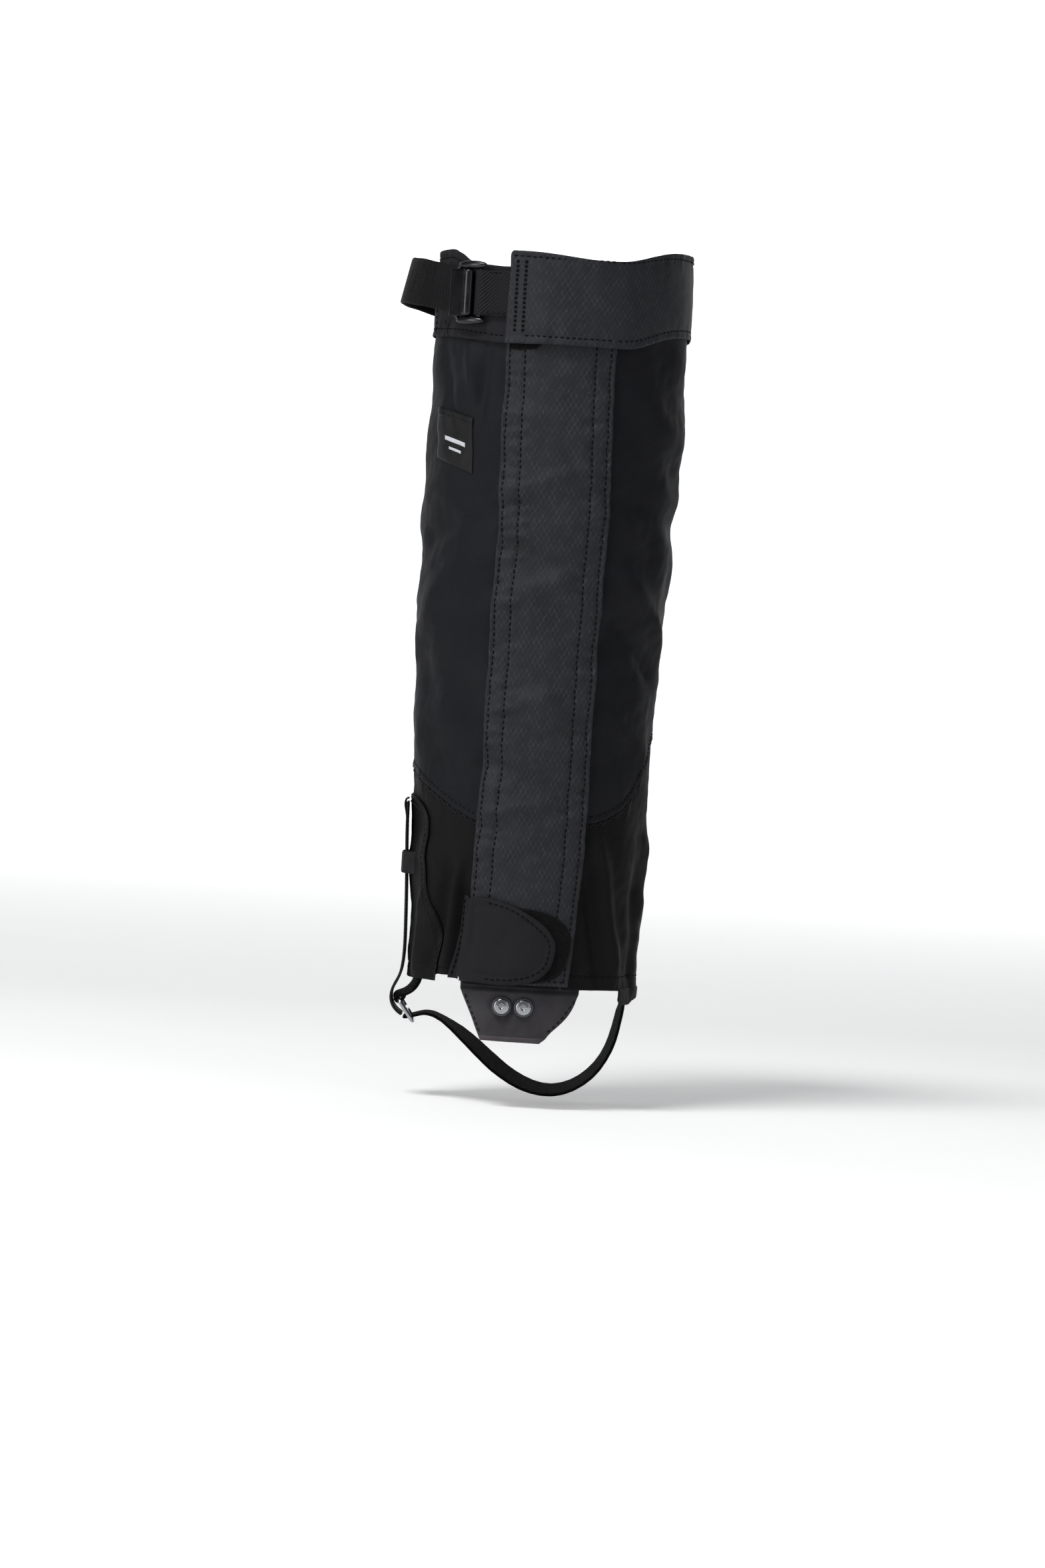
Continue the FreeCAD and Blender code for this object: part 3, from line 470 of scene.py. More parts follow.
def tube(name, path, radius, material, axis, sides=14, closed=False, flat=1.0, ends=0.6, profile=None):
    """A rounded bar along a path in mm; flat scales its section, profile its radius along the path."""
    path = np.asarray(path, float)
    tangent = np.gradient(path, axis=0)
    if closed:
        tangent = (np.roll(path, -1, axis=0) - np.roll(path, 1, axis=0)) / 2
    tangent /= np.linalg.norm(tangent, axis=1, keepdims=True)
    axis = np.asarray(axis, float)
    first = axis[None, :] - (tangent @ axis)[:, None] * tangent
    first /= np.maximum(np.linalg.norm(first, axis=1, keepdims=True), 1e-9)
    second = np.cross(tangent, first)
    count = len(path)
    grow = np.ones(count) if profile is None else np.asarray(profile, float)
    if not closed and profile is None:
        grow[0], grow[-1] = ends * 0.75, ends * 0.75
        grow[1], grow[-2] = (1 + ends) / 2, (1 + ends) / 2
    turn = np.arange(sides) * 2 * math.pi / sides
    ring = (
        np.cos(turn)[None, :, None] * second[:, None, :] * flat
        + np.sin(turn)[None, :, None] * first[:, None, :] * flat
    )
    verts = (path[:, None, :] + ring * (radius * grow)[:, None, None]).reshape(-1, 3) * MM
    faces = ring_faces(count, sides, closed)
    if not closed:
        faces += end_caps(count, sides)
    run = np.repeat(np.linspace(0, 1, count), sides)
    uv = np.stack([np.tile(np.linspace(0, 1, sides), count) * radius * 6 * MM, run * count * MM], axis=1)
    return add_mesh(name, verts, faces, uv, material)


def lathe(name, profile, place, material):
    """A turned piece: profile is (radius, height) in mm, from the middle outwards and back."""
    segments = 44
    verts = []
    for r, h in profile:
        for k in range(segments):
            a = 2 * math.pi * k / segments
            verts.append(place @ Vector((r * math.cos(a) * MM, r * math.sin(a) * MM, h * MM)))
    faces = ring_faces(len(profile), segments) + end_caps(len(profile), segments)
    uv = [(v[0], v[2]) for v in verts]
    return add_mesh(name, verts, faces, uv, material)


THREAD_RISE = 0.14


def dashes(name, points, normals, thick, material, sink=0.12):
    """Short rounded threads: points is (count, 2, 3) in metres, from hole to hole."""
    start, end = points[:, 0], points[:, 1]
    run = end - start
    long = np.linalg.norm(run, axis=1, keepdims=True)
    run = run / np.maximum(long, 1e-9)
    side = np.cross(run, normals)
    side /= np.maximum(np.linalg.norm(side, axis=1, keepdims=True), 1e-9)
    shares = np.array([0.0, 0.1, 0.35, 0.65, 0.9, 1.0])
    rise, shoulder = THREAD_RISE, 0.4 * THREAD_RISE
    lift = np.array([-sink, shoulder, rise, rise, shoulder, -sink]) * MM
    swell = np.array([0.35, 0.85, 1.0, 1.0, 0.85, 0.35])
    turn = np.arange(6) * math.pi / 3
    centre = start[:, None] + (end - start)[:, None] * shares[None, :, None]
    centre = centre + normals[:, None] * lift[None, :, None]
    ring = (
        np.cos(turn)[None, None, :, None] * side[:, None, None, :]
        + np.sin(turn)[None, None, :, None] * normals[:, None, None, :]
    )
    verts = (centre[:, :, None, :] + ring * (swell * thick * MM)[None, :, None, None]).reshape(-1, 3)
    faces = np.array(ring_faces(6, 6))
    total = (faces[None, :, :] + (np.arange(len(points)) * 36)[:, None, None]).reshape(-1, 4)
    uv = np.tile(np.stack([np.tile(np.arange(6), 6), np.repeat(np.arange(6), 6)], axis=1) * 0.2 * MM,
                 (len(points), 1))
    return add_mesh(name, verts, total, uv, material)


def outward_at(angle):
    """The directions out of the tube."""
    n = np.stack([np.sin(angle), -np.cos(angle) * 1.1, 0 * angle], axis=-1)
    return n / np.linalg.norm(n, axis=-1, keepdims=True)


def seam(name, line, offset, material, shape=None, pitch=3.1, long=2.1, thick=0.36, zigzag=0.0,
         by_angle=False):
    """A row of stitches along a line of (x, height), or (degrees, height), laid on the cloth."""
    line = np.asarray(line, float)
    scale = np.array([ARC_PER_DEGREE if by_angle else 1.0, 1.0])
    dense = along(line * scale, 600)
    length = np.linalg.norm(np.diff(dense, axis=0), axis=1).sum()
    count = max(int(length / pitch), 1)
    starts = (np.arange(count) + 0.15) / count
    ends = starts + long / length
    heads = along(dense, 0, np.clip(starts, 0, 1))
    tails = along(dense, 0, np.clip(ends, 0, 1))
    if zigzag:
        heads[:, 1] -= zigzag * (np.arange(count) % 2)
        tails[:, 1] -= zigzag * ((np.arange(count) + 1) % 2)
    heads, tails = heads + RNG.normal(0, 0.07, heads.shape), tails + RNG.normal(0, 0.07, tails.shape)
    placed, sides = [], []
    for spots in (heads, tails):
        spots = spots / scale
        z = spots[:, 1]
        away = offset + 0 * z
        angle = np.radians(spots[:, 0]) if by_angle else angle_at(spots[:, 0], z, offset)
        if shape is not None:
            away = away + (shape(angle, z) if by_angle else shape(spots[:, 0], z, 0, 0))
        placed.append(skin(angle, z, away))
        sides.append(outward_at(angle))
    return dashes(name, np.stack(placed, axis=1), sides[0], thick, material)


def fibres(name, roots, normals, length, thick, material):
    """Short bent hairs standing on a surface."""
    wild = 0.8
    count = len(roots)
    lean_by = RNG.normal(0, wild, (count, 3))
    first = normals + lean_by * 0.7
    second = normals + lean_by + RNG.normal(0, wild * 0.6, (count, 3))
    first /= np.linalg.norm(first, axis=1, keepdims=True)
    second /= np.linalg.norm(second, axis=1, keepdims=True)
    long = length * MM * RNG.uniform(0.5, 1.2, (count, 1))
    mids = roots + first * long * 0.5
    tips = mids + second * long * 0.5
    side = np.cross(first, RNG.normal(0, 1, (count, 3)))
    side /= np.maximum(np.linalg.norm(side, axis=1, keepdims=True), 1e-9)
    third = np.cross(first, side)
    t = thick * MM
    corners = []
    for spots in (roots, mids):
        corners += [spots + side * t, spots - side * t * 0.5 + third * t * 0.87,
                    spots - side * t * 0.5 - third * t * 0.87]
    verts = np.stack([*corners, tips], axis=1).reshape(-1, 3)
    template = [(0, 1, 4, 3), (1, 2, 5, 4), (2, 0, 3, 5), (3, 4, 6), (4, 5, 6), (5, 3, 6)]
    faces = [tuple(7 * i + k for k in face) for i in range(count) for face in template]
    return add_mesh(name, verts, faces, None, material)


# ---------------------------------------------------------------- materials


def linear(value):
    value = value / 255
    return value / 12.92 if value <= 0.04045 else ((value + 0.055) / 1.055) ** 2.4


def colour(r, g, b):
    return (linear(r), linear(g), linear(b), 1.0)


def scaled(tone, factor):
    return tuple(channel * factor for channel in tone[:3]) + (1.0,)


class Paint:
    """A principled material put together from small steps."""

    def __init__(self, name, rough=0.6, metal=0.0, sheen=0.0, specular=0.5):
        self.material = bpy.data.materials.new(name)
        self.material.use_nodes = True
        self.tree = self.material.node_tree
        self.shader = self.tree.nodes["Principled BSDF"]
        looks = {"Roughness": rough, "Metallic": metal, "Sheen Weight": sheen, "Sheen Roughness": 0.45}
        looks["Specular IOR Level"] = specular
        for socket, value in looks.items():
            self.shader.inputs[socket].default_value = value
        place = self.tree.nodes.new("ShaderNodeTexCoord")
        uv = self.tree.nodes.new("ShaderNodeUVMap")
        split = self.tree.nodes.new("ShaderNodeSeparateXYZ")
        self.tree.links.new(uv.outputs[0], split.inputs[0])
        self.u, self.v = split.outputs[0], split.outputs[1]
        self.place = place.outputs["Object"]

    def put(self, value, socket):
        if isinstance(value, bpy.types.NodeSocket):
            self.tree.links.new(value, socket)
        else:
            socket.default_value = value

    def maths(self, operation, first, second=0.0):
        node = self.tree.nodes.new("ShaderNodeMath")
        node.operation = operation
        self.put(first, node.inputs[0])
        self.put(second, node.inputs[1])
        return node.outputs[0]

    def times(self, first, second):
        return self.maths("MULTIPLY", first, second)

    def plus(self, first, second):
        return self.maths("ADD", first, second)

    def wave(self, value, pitch):
        """A sine from 0 to 1 that repeats every pitch metres."""
        turn = self.times(value, math.tau / pitch)
        return self.plus(self.times(self.maths("SINE", turn), 0.5), 0.5)

    def noise(self, scale, detail=3.0):
        node = self.tree.nodes.new("ShaderNodeTexNoise")
        node.inputs["Scale"].default_value = scale
        node.inputs["Detail"].default_value = detail
        self.put(self.place, node.inputs["Vector"])
        return node.outputs["Fac"]

    def spread(self, value, low, high, new_low=0.0, new_high=1.0):
        node = self.tree.nodes.new("ShaderNodeMapRange")
        self.put(value, node.inputs["Value"])
        ends = {"From Min": low, "From Max": high, "To Min": new_low, "To Max": new_high}
        for name, number in ends.items():
            node.inputs[name].default_value = number
        return node.outputs[0]

    def mix(self, share, first, second):
        node = self.tree.nodes.new("ShaderNodeMix")
        node.data_type = "RGBA"
        self.put(share, node.inputs[0])
        self.put(first, node.inputs[6])
        self.put(second, node.inputs[7])
        return node.outputs[2]

    def paint(self, value):
        self.put(value, self.shader.inputs["Base Color"])

    def paint_between(self, share, tone, low, high):
        """Paints the tone times low where share is 0, and times high where it is 1."""
        self.paint(self.mix(share, scaled(tone, low), scaled(tone, high)))

    def roughness(self, value):
        self.put(value, self.shader.inputs["Roughness"])

    def bump(self, height, strength, distance):
        node = self.tree.nodes.new("ShaderNodeBump")
        node.inputs["Strength"].default_value = strength
        node.inputs["Distance"].default_value = distance
        self.put(height, node.inputs["Height"])
        previous = self.shader.inputs["Normal"].links
        if previous:
            self.tree.links.new(previous[0].from_socket, node.inputs["Normal"])
        self.tree.links.new(node.outputs[0], self.shader.inputs["Normal"])


def woven(name, tone, pitch, rough=0.78, contrast=0.35, bump=0.25, specular=0.16):
    """Plain weave: threads cross over and under, a little uneven in tone."""
    p = Paint(name, rough=rough, specular=specular)
    cell = p.times(p.wave(p.u, pitch), p.wave(p.v, pitch))
    slub = p.noise(900.0, 2.0)
    patchy = p.noise(38.0, 4.0)
    share = p.plus(p.times(cell, 0.45), p.plus(p.times(slub, 0.3), p.spread(patchy, 0.3, 0.7, 0.0, 0.35)))
    p.paint_between(share, tone, 1 - contrast, 1 + contrast)
    p.roughness(p.spread(patchy, 0.3, 0.7, rough - 0.08, rough + 0.08))
    p.bump(p.plus(cell, p.times(slub, 0.5)), bump, 0.00018)
    p.bump(p.noise(160.0, 4.0), 0.18, 0.0006)
    return p.material


def ripstop(name, tone, thread):
    """Fine cloth with a raised diamond grid, and lighter dots where the grid's threads cross."""
    p = Paint(name, rough=0.6, specular=0.27)
    across = p.times(p.u, 1 / 0.0026)
    upward = p.times(p.v, 1 / 0.0050)
    one = p.maths("PINGPONG", p.plus(across, upward), 0.5)
    two = p.maths("PINGPONG", p.maths("SUBTRACT", across, upward), 0.5)
    line_one = p.spread(one, 0.0, 0.14, 1.0, 0.0)
    line_two = p.spread(two, 0.0, 0.14, 1.0, 0.0)
    lines = p.maths("MAXIMUM", line_one, line_two)
    knots = p.times(line_one, line_two)
    patchy = p.noise(55.0, 4.0)
    slub = p.noise(1300.0, 2.0)
    uneven = p.plus(p.times(slub, 0.5), p.spread(patchy, 0.3, 0.7, 0.0, 0.5))
    base = p.mix(uneven, scaled(tone, 0.75), scaled(tone, 1.3))
    worn = p.spread(p.noise(240.0, 2.0), 0.42, 0.62, 0.15, 1.0)
    share = p.times(p.plus(p.times(lines, 0.3), p.times(knots, 0.5)), worn)
    p.paint(p.mix(share, base, thread))
    p.bump(p.plus(lines, p.times(p.times(p.wave(p.u, 0.00045), p.wave(p.v, 0.00045)), 0.6)), 0.5, 0.0002)
    p.bump(p.noise(190.0, 4.0), 0.2, 0.0006)
    return p.material


def ribbed(name, tone, rib=0.00155, shine=0.22, rough=0.62):
    """Webbing: ribs across it, with fine threads along it."""
    p = Paint(name, rough=rough, specular=shine)
    ribs = p.wave(p.v, rib)
    threads = p.wave(p.plus(p.u, p.times(ribs, 0.0002)), 0.00082)
    worn = p.noise(70.0, 4.0)
    share = p.plus(p.times(p.times(ribs, threads), 0.6), p.spread(worn, 0.35, 0.7, 0.0, 0.4))
    p.paint_between(share, tone, 0.55, 1.9)
    p.bump(p.plus(ribs, p.times(threads, 0.6)), 0.7, 0.00035)
    p.bump(p.noise(1100.0, 2.0), 0.2, 0.0002)
    return p.material


def diagonal(name, tone):
    """Twill: fine ridges at a slant."""
    p = Paint(name, rough=0.62, specular=0.15)
    lines = p.wave(p.plus(p.u, p.v), 0.0021)
    fine = p.wave(p.maths("SUBTRACT", p.u, p.v), 0.0009)
    p.paint_between(p.plus(p.times(lines, 0.7), p.times(p.noise(300.0), 0.3)), tone, 0.5, 1.8)
    p.bump(p.plus(lines, p.times(fine, 0.3)), 0.8, 0.0004)
    return p.material


def coated(name, tone, rough=0.5):
    """A coated cloth: smooth, faintly grained, with scuffs."""
    p = Paint(name, rough=rough, specular=0.16)
    grain = p.noise(1500.0, 3.0)
    scuff = p.noise(60.0, 6.0)
    p.paint_between(p.spread(scuff, 0.3, 0.75), tone, 0.78, 1.3)
    p.roughness(p.spread(scuff, 0.35, 0.7, rough + 0.1, rough - 0.08))
    p.bump(grain, 0.25, 0.00012)
    p.bump(p.noise(130.0, 5.0), 0.25, 0.0007)
    return p.material


def piled(name, tone, scale=1400.0):
    """Hook or loop tape: a rough mat."""
    p = Paint(name, rough=0.9, sheen=0.06, specular=0.1)
    mat = p.noise(scale, 5.0)
    p.paint_between(p.spread(mat, 0.35, 0.68), tone, 0.5, 1.9)
    p.bump(mat, 0.9, 0.0006)
    return p.material


def hooked(name, tone):
    """Hook tape: rows of tiny stiff hooks."""
    p = Paint(name, rough=0.5, specular=0.35)
    rows = p.times(p.wave(p.u, 0.0014), p.wave(p.v, 0.0011))
    p.paint_between(p.plus(p.times(rows, 0.8), p.times(p.noise(800.0), 0.2)), tone, 0.5, 2.2)
    p.bump(rows, 0.9, 0.0007)
    return p.material


def metal(name, tone, rough, scratch=0.15):
    """Metal: faint smears in tone and gloss, and fine scratches."""
    p = Paint(name, rough=rough, metal=1.0)
    smear = p.noise(120.0, 5.0)
    fine = p.noise(900.0, 3.0)
    p.paint_between(p.spread(smear, 0.3, 0.7), tone, 0.8, 1.0)
    p.roughness(p.plus(p.spread(smear, 0.3, 0.75, rough * 0.75, rough * 1.35), p.times(fine, 0.05)))
    p.bump(fine, scratch, 0.00005)
    p.bump(p.noise(210.0, 3.0), scratch, 0.0003)
    return p.material


def thread_paint(name, tone, rough=0.55):
    """Twisted thread."""
    p = Paint(name, rough=rough, specular=0.1)
    twist = p.wave(p.plus(p.u, p.v), 0.0005)
    p.paint_between(p.plus(p.times(twist, 0.6), p.times(p.noise(900.0), 0.4)), tone, 0.6, 1.5)
    p.bump(twist, 0.5, 0.0001)
    return p.material


SHELL = woven("shell_cloth", colour(13, 14, 19), 0.00062, rough=0.68, specular=0.17)
LOWER = woven("lower_cloth", colour(14, 12, 13), 0.00085, rough=0.72, contrast=0.45, bump=0.4, specular=0.13)
RIPSTOP = ripstop("ripstop_cloth", colour(24, 25, 29), colour(68, 71, 79))
COLLAR = woven("collar_cloth", colour(27, 27, 30), 0.00058)
COATED = coated("coated_patch", colour(10, 9, 11), rough=0.62)
TAB_COAT = coated("coated_tab", colour(50, 48, 51), rough=0.58)
TAB_ROLL = coated("coated_roll", colour(64, 60, 64), rough=0.5)
WEBBING = ribbed("webbing", colour(20, 20, 22))
TAIL_WEB = ribbed("tail_webbing", colour(20, 20, 23), shine=0.2)
STRAP_WEB = ribbed("strap_webbing", colour(13, 12, 14), rib=0.0019, shine=0.12)
DARK_WEB = ribbed("instep_webbing", colour(9, 9, 10), rib=0.0017, shine=0.06, rough=0.8)
TWILL = diagonal("twill", colour(20, 20, 22))
ELASTIC = ribbed("elastic", colour(22, 22, 24), rib=0.0012)
HOOKS = hooked("hook_tape", colour(24, 24, 26))
LOOPS = piled("loop_tape", colour(22, 22, 24))
PILE = piled("loop_pile", colour(17, 17, 18), 2200.0)
SATIN = woven("label_satin", colour(15, 15, 17), 0.0004, rough=0.5, specular=0.2)
MARK = woven("label_mark", colour(186, 188, 192), 0.0004, rough=0.6, contrast=0.12)
THREAD = thread_paint("black_thread", colour(5, 5, 6), 0.7)
THREAD_LIGHT = thread_paint("grey_thread", colour(30, 30, 33))
LINT = thread_paint("lint", colour(96, 97, 100), 0.9)
BLACK_METAL = metal("black_metal", colour(60, 60, 62), 0.25, scratch=0.01)
SMOOTH_BLACK = metal("smooth_black", colour(33, 32, 34), 0.42, scratch=0.04)
BRIGHT_METAL = metal("bright_metal", colour(166, 168, 172), 0.18)
DULL_STEEL = metal("dull_steel", colour(96, 97, 100), 0.42)

# ---------------------------------------------------------------- riding and naming


def finish_piece(obj, body=None, nodes=(), blend=None):
    """Hides the CAD nodes a piece stands for, and hangs it on the body it moves with; a piece with a blend is
    only baked in place.
    """
    if nodes:
        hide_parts(*nodes)
    if blend:
        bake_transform(obj)
    else:
        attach(obj, body)


def stitch_rows(name, slot, lines, offset, shape=None, body=None, blend=None, material=THREAD, **how):
    """One piece from several rows of stitches that lie on the same cloth."""
    rows = [seam(name, line, offset, material, shape, **how) for line in lines]
    finish_piece(join(name, rows), body, blend=blend)


def hinge_place(x):
    """A point near the front of the tube, in metres, where a blend starts or ends."""
    return Vector((x * MM, -0.0576, 0.2))


SEWN_TO_FLAP = ("root", "storm_flap", hinge_place(30.5), hinge_place(25.0))
# slanted to the front, so that the band's back end stays with the shell
WRAP_START = Vector((0.033, -0.0525, 0.2))
WRAP_TO_FLAP = ("root", "storm_flap", WRAP_START, WRAP_START + Vector((-0.0045, -0.0036, 0)))
FLAP_TO_COVER = ("storm_flap", "collar_flap", hinge_place(27.0), hinge_place(21.5))

# ---------------------------------------------------------------- seams and edges of the shell

# x and height in front, from the outer to the inner side; behind, it climbs evenly between its two ends
FRONT_SEAM = np.array([
    (-66.0, 113.0), (-50.0, 99.0), (-29.5, 88.0), (0.0, 84.0), (29.5, 90.0), (50.0, 102.0), (57.5, 118.0),
    (62.3, 136.0),
])
BACK_SEAM_ENDS = 114.8, 136.5


def seam_height(angle):
    """The seam between the upper and the lower cloth."""
    angle = np.asarray(angle, float)
    x = -1.6 + 64.6 * np.sin(angle)
    outer, inner = FRONT_SEAM[0, 0], FRONT_SEAM[-1, 0]
    front = spline(FRONT_SEAM[:, 0], FRONT_SEAM[:, 1], np.clip(x, outer, inner))
    low, high = BACK_SEAM_ENDS
    back = low + (high - low) * (x - outer) / (inner - outer)
    return back + (front - back) * smooth(-0.12, 0.12, np.cos(angle))


def level(height):
    """An edge at one height all round."""
    return lambda angle: height + 0 * np.asarray(angle, float)


def ripple(z, seed, short=4.5, long=11.0):
    """Uneven puckers along a seam, between -1 and 1."""
    own = np.random.default_rng(seed)
    total = 0 * np.asarray(z, float)
    for _ in range(9):
        total = total + np.sin(TURN * z / own.uniform(short, long) + own.uniform(0, TURN))
    return total / 3.6


def near(distance, width):
    """1 at no distance, falling to almost 0 at twice the width."""
    return np.exp(-(np.asarray(distance) / width) ** 2)


def upper_shape(angle, z):
    """The upper cloth's folded lower edge, and puckers along it."""
    up = z - seam_height(angle)
    edge = 0.55 * near(up, 2.6) - 0.25 * near(up - 3.2, 0.9)
    return edge + 0.3 * near(up, 9.0) * ripple(angle * ARC, 21)


def hem_low(angle):
    """The hem's lower edge, which lifts a little beside the flap's foot on the outer side."""
    degrees = np.degrees(np.asarray(angle, float))
    return 3.8 * smooth(-64, -50, degrees) * (1 - smooth(-36, -31, degrees))


def lower_shape(angle, z):
    """The lower cloth's turned hem, and puckers along the hem and the seam."""
    down = seam_height(angle) - z
    hem = 0.45 * near(z, 2.2) - 0.25 * near(z - 7.6, 1.2) + 0.25 * near(z, 9.0) * ripple(angle * ARC, 33)
    return hem + 0.3 * near(down, 9.0) * ripple(angle * ARC, 22) - 0.45


def band_low(angle):
    """The collar band's lower edge."""
    x = COLLAR_HALF * np.sin(np.asarray(angle, float))
    side = np.abs(x)
    left = COLLAR_LOW - 0.5 + 3.5 * smooth(28, 64, side) + 1.5 * smooth(64, 69, side)
    right = COLLAR_LOW + 10.0 * smooth(30, 67, side)
    front = np.where(x < 0, left, right)
    back = COLLAR_LOW + 4.0 + 4.5 * smooth(0, 60, x)
    return back + (front - back) * smooth(-0.15, 0.15, np.cos(angle))


def band_top(angle):
    """The collar band's upper edge."""
    x = COLLAR_HALF * np.sin(np.asarray(angle, float))
    left = 384.8 + 1.2 * smooth(31, 47, -x) + 8.4 * smooth(46, 62, -x)
    right = RIM + 2.5 + 6.0 * smooth(29, 64, x)
    front = np.where(x < 0, left, right)
    y = -COLLAR_DEPTH * np.cos(angle)
    return front + (RIM_BACK + 1.0 - front) * smooth(2, 50, y)


BACK_SEAM = 180.0
LEFT_EDGE, RIGHT_EDGE = 18.6, 20.6
CLOTH = 0.9


def upper_foot(angle):
    return seam_height(angle) - 0.4


def left_rim(angle):
    """The outer side's rim stays hidden behind the collar band."""
    return np.minimum(rim_height(angle) - 0.6, band_top(angle) - 1.6)


def right_rim(angle):
    return rim_height(angle) - 0.6


def lower_head(angle):
    return seam_height(angle) + 4.0


LEFT_SIDE, RIGHT_SIDE = (-BACK_SEAM, LEFT_EDGE), (RIGHT_EDGE, BACK_SEAM)
# piece, slot, its two angles, lower and upper edge, offset, cloth, shape, row width, CAD nodes
SHELL_PIECES = [
    ("upper_left_cloth", "shell_cloth", LEFT_SIDE, upper_foot, left_rim, 0.0, SHELL, upper_shape, 1.7,
     ["upper_left_panel"]),
    ("upper_right_cloth", "shell_cloth", RIGHT_SIDE, upper_foot, right_rim, 0.0, SHELL, upper_shape, 1.7,
     ["upper_right_panel"]),
    ("lower_left_cloth", "lower_cloth", LEFT_SIDE, hem_low, lower_head, 0.0, LOWER, lower_shape, 1.4,
     ["lower_left_panel"]),
    ("lower_right_cloth", "lower_cloth", RIGHT_SIDE, level(0.0), lower_head, 0.0, LOWER, lower_shape, 1.4,
     ["lower_right_panel"]),
    ("hem_binding_tape", "webbing", LEFT_SIDE, lambda angle: hem_low(angle) + 0.2, level(11.0), -1.15,
     WEBBING, lower_shape, 1.7, ["hem_binding"]),
    ("hem_binding_tape_right", "webbing", RIGHT_SIDE, level(0.2), level(11.0), -1.15, WEBBING, lower_shape,
     1.7, []),
]
for name, slot, ends, low, high, offset, cloth, shape, step, nodes in SHELL_PIECES:
    piece = region(name, *ends, low, high, offset, CLOTH, cloth, shape=shape, step=step)
    finish_piece(piece, "root", nodes)


def ring_line(start, end, edge, rise=0.0, count=60):
    """A line round the tube, by degrees, at a rise over an edge."""
    degrees = np.linspace(start, end, count)
    return np.stack([degrees, edge(np.radians(degrees)) + rise], axis=1)


def upright_line(degrees, low, high, count=40):
    z = np.linspace(low, high, count)
    return np.stack([0 * z + degrees, z], axis=1)


for side, start, end in (("left", -179.0, -24.0), ("right", 24.0, 179.0)):
    rows = [
        seam("row", ring_line(start, end, seam_height, 3.1), 0.0, THREAD, upper_shape, by_angle=True),
        seam("row", ring_line(start, end, seam_height, -0.9), 0.1, THREAD_LIGHT, lower_shape, by_angle=True,
             pitch=2.3, long=2.3, zigzag=1.9),
        seam("row", ring_line(start, end, level(7.6), count=50), 0.0, THREAD, lower_shape, by_angle=True),
    ]
    finish_piece(join(f"shell_stitches_{side}", rows), "root")

# the back seam: a flat-felled ridge with two rows
back_rows = []
for cloth, low, high in ((LOWER, 1.0, 122.0), (SHELL, 128.0, 378.0)):
    ridge = region("ridge", 174.5, 185.5, level(low), level(high), 0.75, 0.8, cloth,
                   shape=lambda angle, z: 0.15 * ripple(z, 44), step=1.5)
    back_rows.append(ridge)
    for degrees in (175.4, 184.6):
        back_rows.append(seam("row", upright_line(degrees, low + 2, high - 2), 0.75, THREAD, by_angle=True))
finish_piece(join("back_seam", back_rows), "root")

# ---------------------------------------------------------------- ankle patch and label

# degrees round the tube and height, from the hem up
PATCH_FRONT = [
    (-48.0, 0.0), (-50.0, 20.0), (-52.4, 39.0), (-59.6, 62.0), (-58.2, 80.0), (-61.5, 90.0), (-86.0, 98.5),
]
PATCH_BACK = [(-124.5, 0.0), (-124.5, 50.0), (-121.0, 62.0), (-121.6, 78.0), (-118.0, 90.0), (-94.0, 99.0)]
PATCH_SHOULDER = 85.0


def patch_shape(angle, z):
    return lower_shape(angle, z) + 0.45 - 0.2 * near(z - 7.6, 1.2)


def patch_stand(degrees, z, s, t):
    edge = np.minimum(s, 1 - s) * 70
    return patch_shape(np.radians(degrees), z) + 0.18 * near(edge, 3.0)


def patch_inset(outline, inset):
    """The outline moved in by a positive or negative inset in mm; above the shoulder it moves down too."""
    lowered = 0.8 * abs(inset)
    return [(degrees + inset * 0.9, z if z < PATCH_SHOULDER else z - lowered) for degrees, z in outline]


ankle_patch = patch("ankle_patch_cloth", PATCH_BACK, PATCH_FRONT, 0.95, 0.8, COATED, by_angle=True,
                    shape=patch_stand, step=1.3)
finish_piece(ankle_patch, "root", ["ankle_patch"])
patch_lines = []
for inset in (1.5, 4.6):
    patch_lines += [patch_inset(PATCH_FRONT, -inset), patch_inset(PATCH_BACK, inset)]
stitch_rows("ankle_patch_stitches", "coated_cloth", patch_lines, 0.98, patch_shape, "root",
            material=THREAD_LIGHT, by_angle=True)

# the label's top and foot, each from its outer to its front corner
LABEL_TOP = np.array([(-64.4, 309.0), (-45.4, 303.0)])
LABEL_FOOT = np.array([(-63.4, 281.5), (-45.0, 273.0)])


def label_point(s, t):
    """A point of the label, s from its outer to its front edge, t from its foot to its top."""
    top, foot = (edge[0] * (1 - s) + edge[1] * s for edge in (LABEL_TOP, LABEL_FOOT))
    return foot * (1 - t) + top * t


def label_piece(name, sides, heights, offset, thickness, material):
    left, right = ([label_point(s, t) for t in np.linspace(*heights, 5)] for s in sides)
    return patch(name, left, right, offset, thickness, material, step=0.7)


label = [
    label_piece("woven_label_cloth", (0, 1), (0, 1), 0.75, 0.6, SATIN),
    label_piece("fold", (0.0, 1.0), (0.86, 1.0), 1.15, 0.5, SATIN),
]
marks = [
    label_piece("mark", (0.22, 0.78), (0.42, 0.50), 0.9, 0.2, MARK),
    label_piece("mark", (0.34, 0.66), (0.27, 0.32), 0.9, 0.2, MARK),
]
finish_piece(join("woven_label_cloth", label), "root", ["woven_label"])
finish_piece(join("label_stripe", marks), "root")
stitch_rows("woven_label_stitches", "label_satin", [[label_point(0.04, 0.9), label_point(0.96, 0.9)]], 1.2,
            body="root", pitch=1.9, long=1.4, thick=0.18)

# ---------------------------------------------------------------- storm flap


def flap_line(x, low=FLAP_BOTTOM, high=FLAP_TOP, count=60):
    z = np.linspace(low, high, count)
    return np.stack([x + lean(z), z], axis=1)


